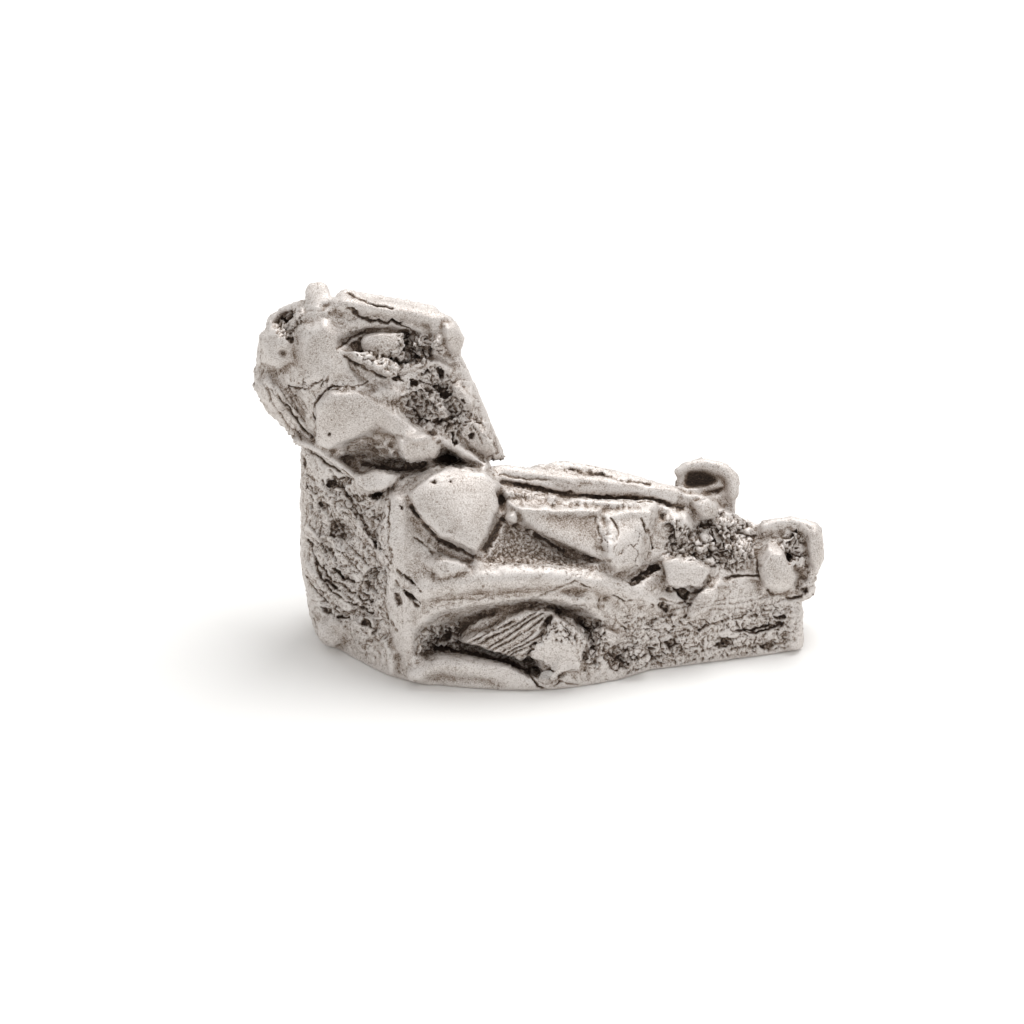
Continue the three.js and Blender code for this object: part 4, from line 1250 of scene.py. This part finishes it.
@dataclass
class Stone:
    """The whole stone, one piece."""

    sight: Sight
    finish: Finish
    weld: float = 0.002 * MM
    first_voxel: float = 0.22 * MM
    second_voxel: float = 0.15 * MM
    first_rounds: int = 15
    second_rounds: int = 4
    form_bend: tuple[float, float] = (1.6, 0.22)
    back_bend: tuple[float, float] = (2.2, 0.9)
    pit_bend: tuple[float, float] = (0.6, 0.3)
    crack_bend: tuple[float, float] = (0.8, 0.34)
    seen_triangles: int = 120_000
    hidden_triangles: int = 70_000
    sky_rays: int = 11
    sky_reach: float = 6 * MM
    sky_start: float = 0.12 * MM
    crisp: float = 0.7
    hidden_crumble: float = 0.3
    base_height: float = 0.02 * MM

    def block_out(self) -> bpy.types.Object:
        """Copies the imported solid, welds it and turns it into soft clay.

        Returns:
            The new piece.
        """
        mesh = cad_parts[NODE].data.copy()
        piece = bpy.data.objects.new("stone", mesh)
        bpy.context.scene.collection.objects.link(piece)
        apply_modifier(piece, "WELD", merge_threshold=self.weld)
        apply_modifier(piece, "REMESH", mode="VOXEL", voxel_size=self.first_voxel)
        apply_modifier(piece, "SMOOTH", factor=0.5, iterations=self.first_rounds)
        log.info("blocked out with %d vertices", len(piece.data.vertices))
        return piece

    def form(self, piece: bpy.types.Object) -> None:
        """Works the drawn forms into the clay and gives it an even, finer mesh."""
        surface = Surface(piece, self.sight, 4)
        front, _ = surface.front_relief(FORMS, surface.wandering(*self.form_bend), surface.facing)
        back, _ = surface.back_relief(BACK_FORMS, surface.wandering(*self.back_bend))
        surface.push(front, back, np.zeros(len(front)), self.crisp)
        apply_modifier(piece, "REMESH", mode="VOXEL", voxel_size=self.second_voxel)
        apply_modifier(piece, "SMOOTH", factor=0.5, iterations=self.second_rounds)
        log.info("refined to %d vertices", len(piece.data.vertices))

    def detail(self, piece: bpy.types.Object) -> dict[str, np.ndarray]:
        """Cuts pits and cracks and breaks the surface up.

        Args:
            piece: the stone.

        Returns:
            For each vertex its stain with the painted shade that some reliefs draw, how far it is worn
            smooth, and whether the photograph hides it.
        """
        surface = Surface(piece, self.sight, 3)
        stain_and_shade = surface.front_relief(FORMS, surface.wandering(*self.form_bend), surface.facing)[1]
        back_stain = surface.back_relief(BACK_FORMS, surface.wandering(*self.back_bend))[1]
        stain_and_shade = np.maximum(stain_and_shade, back_stain)
        pits, pit_stain = surface.front_relief(PITS, surface.wandering(*self.pit_bend), surface.facing)
        broken = surface.facing * smoothstep(-0.6, 0.35, cloud(surface.points, 1.6, 3, 31))
        cracks, crack_stain = surface.front_relief(CRACKS, surface.wandering(*self.crack_bend), broken)
        shares = self.zone_shares(surface, pit_stain)
        crust = Crust(surface, shares, np.maximum(stain_and_shade, pit_stain))
        crust.build()
        crust.darken(0.85 * crack_stain)
        surface.push(pits + 0.6 * cracks, np.zeros(len(pits)), crust.height, self.crisp)
        stain_and_shade = crust.stain_and_shade * smoothstep(0.05, 0.7, surface.points[:, 2])
        return {"stain_and_shade": stain_and_shade, "worn": shares[Grain.SMOOTH], "hidden": 1 - surface.facing}

    def zone_shares(self, surface: Surface, pit_stain: np.ndarray) -> dict[Grain, np.ndarray]:
        """Works out how much of each grain every vertex has.

        Args:
            surface: the stone's surface.
            pit_stain: stain of the drawn pits, whose floors are crumbly.

        Returns:
            Shares from 0 to 1 for each grain.
        """
        shares = {grain: np.zeros(len(surface.points)) for grain in Grain}
        shift = surface.wandering(*Crust.bend)
        for grain, zones in ZONES.items():
            for shape in (Patch(zone.outline, zone.strength, zone.soft) for zone in zones):
                share = surface.front_relief([shape], shift, surface.facing)[0]
                shares[grain] = np.maximum(shares[grain], share)
        unseen = 1 - surface.facing
        rough = smoothstep(0.05, 0.4, cloud(surface.points, 7.0, 2, 41)) * unseen
        shares[Grain.CRUMBLE] = np.maximum.reduce(
            [shares[Grain.CRUMBLE], self.hidden_crumble * rough, 0.8 * pit_stain]
        )
        cracked = smoothstep(0.0, 0.3, cloud(surface.points, 11.0, 2, 43)) * unseen
        shares[Grain.CRACKLE] = np.maximum(shares[Grain.CRACKLE], 0.8 * cracked)
        for grain in (Grain.CRUMBLE, Grain.CRACKLE, Grain.SAND):
            shares[grain] = shares[grain] * (1 - 0.9 * shares[Grain.SMOOTH])
        return shares

    def settle(self, piece: bpy.types.Object, values: dict[str, np.ndarray]) -> None:
        """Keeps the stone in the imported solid's box with its base flat, and stores values on its vertices.

        Args:
            piece: the stone.
            values: one value to a vertex, by name.
        """
        low, high = (np.array(corner) for corner in CAD_BOX)
        move_vertices(piece.data, np.clip(vertex_places(piece.data), low, high))
        for name, column in values.items():
            store_values(piece.data, name, column)

    def thin(self, piece: bpy.types.Object) -> None:
        """Thins the mesh where it is plain, the hidden sides first and then what the photograph shows."""
        mesh = piece.data
        hidden = read_values(mesh, "hidden") > 0.5
        apply_modifier(piece, "TRIANGULATE")
        corners = np.empty(len(mesh.polygons) * 3, np.int32)
        mesh.polygons.foreach_get("vertices", corners)
        seen_triangles = int((~hidden[corners.reshape(-1, 3)]).any(1).sum())
        for name, members in (("hidden", hidden), ("seen", ~hidden)):
            group = piece.vertex_groups.new(name=name)
            group.add(np.flatnonzero(members).tolist(), 1.0, "REPLACE")
        for name, kept_triangles in (("hidden", seen_triangles), ("seen", self.seen_triangles)):
            wanted = kept_triangles + self.hidden_triangles
            apply_modifier(
                piece,
                "DECIMATE",
                decimate_type="COLLAPSE",
                ratio=min(1.0, wanted / len(mesh.polygons)),
                vertex_group=name,
                vertex_group_factor=1.0,
            )
            log.info("thinned the %s side, %d triangles left", name, len(mesh.polygons))
        piece.vertex_groups.clear()

    def sky(self, piece: bpy.types.Object, places: np.ndarray, normals: np.ndarray) -> np.ndarray:
        """Measures how much open sky each vertex sees.

        Args:
            piece: the stone.
            places: its vertices.
            normals: their normals.

        Returns:
            Shares from 0, closed in, to 1, open.
        """
        tree = BVHTree.FromObject(piece, bpy.context.evaluated_depsgraph_get())
        step = np.arange(self.sky_rays) + 0.5
        tilt = np.arccos(1 - 2 * step / self.sky_rays)
        turn = math.pi * (1 + math.sqrt(5)) * step
        rays = np.stack([np.cos(turn) * np.sin(tilt), np.sin(turn) * np.sin(tilt), np.cos(tilt)], 1)
        rays = [Vector(ray) for ray in rays]
        open_share = np.zeros(len(places))
        for i, (place, normal) in enumerate(zip(places, normals)):
            normal = Vector(normal)
            start = Vector(place) + normal * self.sky_start
            clear = 0
            for ray in rays:
                ray = (ray + 1.05 * normal).normalized()
                clear += tree.ray_cast(start, ray, self.sky_reach)[0] is None
            open_share[i] = clear / len(rays)
        return open_share

    def age(self, piece: bpy.types.Object) -> None:
        """Works out where oxide has stayed, where painted shade darkens creases and closed-in hollows, and
        where a painted highlight lightens sharp edges, and stores it on the mesh.
        """
        mesh = piece.data
        places = vertex_places(mesh)
        normals = vertex_normals(mesh)
        stain_and_shade, worn, hidden = (read_values(mesh, name) for name in ("stain_and_shade", "worn", "hidden"))
        bowl, broad = (
            ((blur(mesh, places, rounds) - places) * normals).sum(1) / MM for rounds in (6, 30)
        )
        closed = 1 - blur(mesh, self.sky(piece, places, normals), 1)
        # The stain, then the surface's bend. Creases go darker, partly oxide kept in them and partly painted
        # shade. Sharp edges go lighter, partly rubbed wear and partly a painted highlight.
        patina_and_shade = 0.75 * stain_and_shade + 3.4 * np.clip(bowl, -0.12, 0.2) + 0.6 * np.clip(broad, -0.3, 0.4)
        # Painted shade: hollows that see little open sky are darkened for the shade that falls in them.
        patina_and_shade += 0.4 * smoothstep(0.45, 1.0, closed)
        patina_and_shade = np.clip(patina_and_shade, -0.2 * (1 - np.maximum(worn, hidden)), 1)
        patina_and_shade[places[:, 2] < self.base_height] = 0
        store_values(mesh, "patina_and_shade", patina_and_shade)
        for name in ("stain_and_shade", "hidden"):
            mesh.attributes.remove(mesh.attributes[name])

    def dress(self, piece: bpy.types.Object) -> None:
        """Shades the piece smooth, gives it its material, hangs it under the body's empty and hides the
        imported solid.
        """
        select_only(piece)
        bpy.ops.object.shade_smooth()
        piece.data.materials.clear()
        piece.data.materials.append(self.finish.material())
        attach(piece, BODY)
        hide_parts(NODE)

    def build(self) -> bpy.types.Object:
        """Makes the stone.

        Returns:
            The finished piece.
        """
        piece = self.block_out()
        self.form(piece)
        self.settle(piece, self.detail(piece))
        self.thin(piece)
        self.age(piece)
        self.dress(piece)
        return piece


@dataclass
class Studio:
    """A pale floor, a soft light from above and behind, and the photograph's camera."""

    sight: Sight
    floor_colour: str = "F4F3F1"
    floor_side: float = 3.0
    floor_rough: float = 0.9
    sky_colour: str = "FFFFFF"
    sky_strength: float = 0.73
    lamp_place: tuple[float, float, float] = (0.1, 0.1, 0.42)
    lamp_aim: tuple[float, float, float] = (0, 0, 0.015)
    lamp_side: float = 0.3
    lamp_watts: float = 1.5
    sensor_mm: float = 36
    view_end: float = 20

    def build(self) -> None:
        """Sets up floor, light, sky and camera."""
        scene = bpy.context.scene
        scene.view_settings.view_transform = "Standard"
        bpy.ops.object.select_all(action="DESELECT")
        bpy.ops.mesh.primitive_plane_add(size=self.floor_side)
        floor = bpy.context.active_object
        floor.name = "floor"
        paint = bpy.data.materials.new("matt_white_board")
        paint.use_nodes = True
        shader = paint.node_tree.nodes["Principled BSDF"]
        shader.inputs["Base Color"].default_value = linear(self.floor_colour)
        shader.inputs["Roughness"].default_value = self.floor_rough
        floor.data.materials.append(paint)
        world = bpy.data.worlds.new("studio")
        world.use_nodes = True
        sky = world.node_tree.nodes["Background"]
        sky.inputs["Color"].default_value = linear(self.sky_colour)
        sky.inputs["Strength"].default_value = self.sky_strength
        scene.world = world
        self.lamp()
        self.camera()

    def lamp(self) -> None:
        """Adds a soft square light that faces the stone."""
        light = bpy.data.lights.new("key", "AREA")
        light.size = self.lamp_side
        light.energy = self.lamp_watts
        lamp = bpy.data.objects.new("key", light)
        lamp.location = self.lamp_place
        aim = Vector(self.lamp_aim) - Vector(self.lamp_place)
        lamp.rotation_euler = aim.to_track_quat("-Z", "Y").to_euler()
        bpy.context.scene.collection.objects.link(lamp)

    def camera(self) -> None:
        """Puts the camera at the photograph's eye."""
        lens = bpy.data.cameras.new("camera")
        lens.sensor_width = self.sensor_mm
        lens.lens = lens.sensor_width * self.sight.distance / (self.sight.side * self.sight.pixel)
        lens.clip_end = self.view_end
        camera = bpy.data.objects.new("camera", lens)
        camera.location = self.sight.eye
        camera.rotation_euler = Vector(self.sight.into).to_track_quat("-Z", "Y").to_euler()
        bpy.context.scene.collection.objects.link(camera)
        bpy.context.scene.camera = camera


def main() -> None:
    """Builds the stone and the studio."""
    logging.basicConfig(level=logging.INFO, format="%(name)s: %(message)s")
    places = vertex_places(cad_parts[NODE].data)
    foot = places[places[:, 2] < FOOT_HEIGHT, 1].min()
    sight = Sight(places.min(0), places.max(0), foot)
    Studio(sight).build()
    piece = Stone(sight, Finish()).build()
    log.info("%s: %d triangles", piece.name, len(piece.data.polygons))


if __name__ == "__main__":
    main()
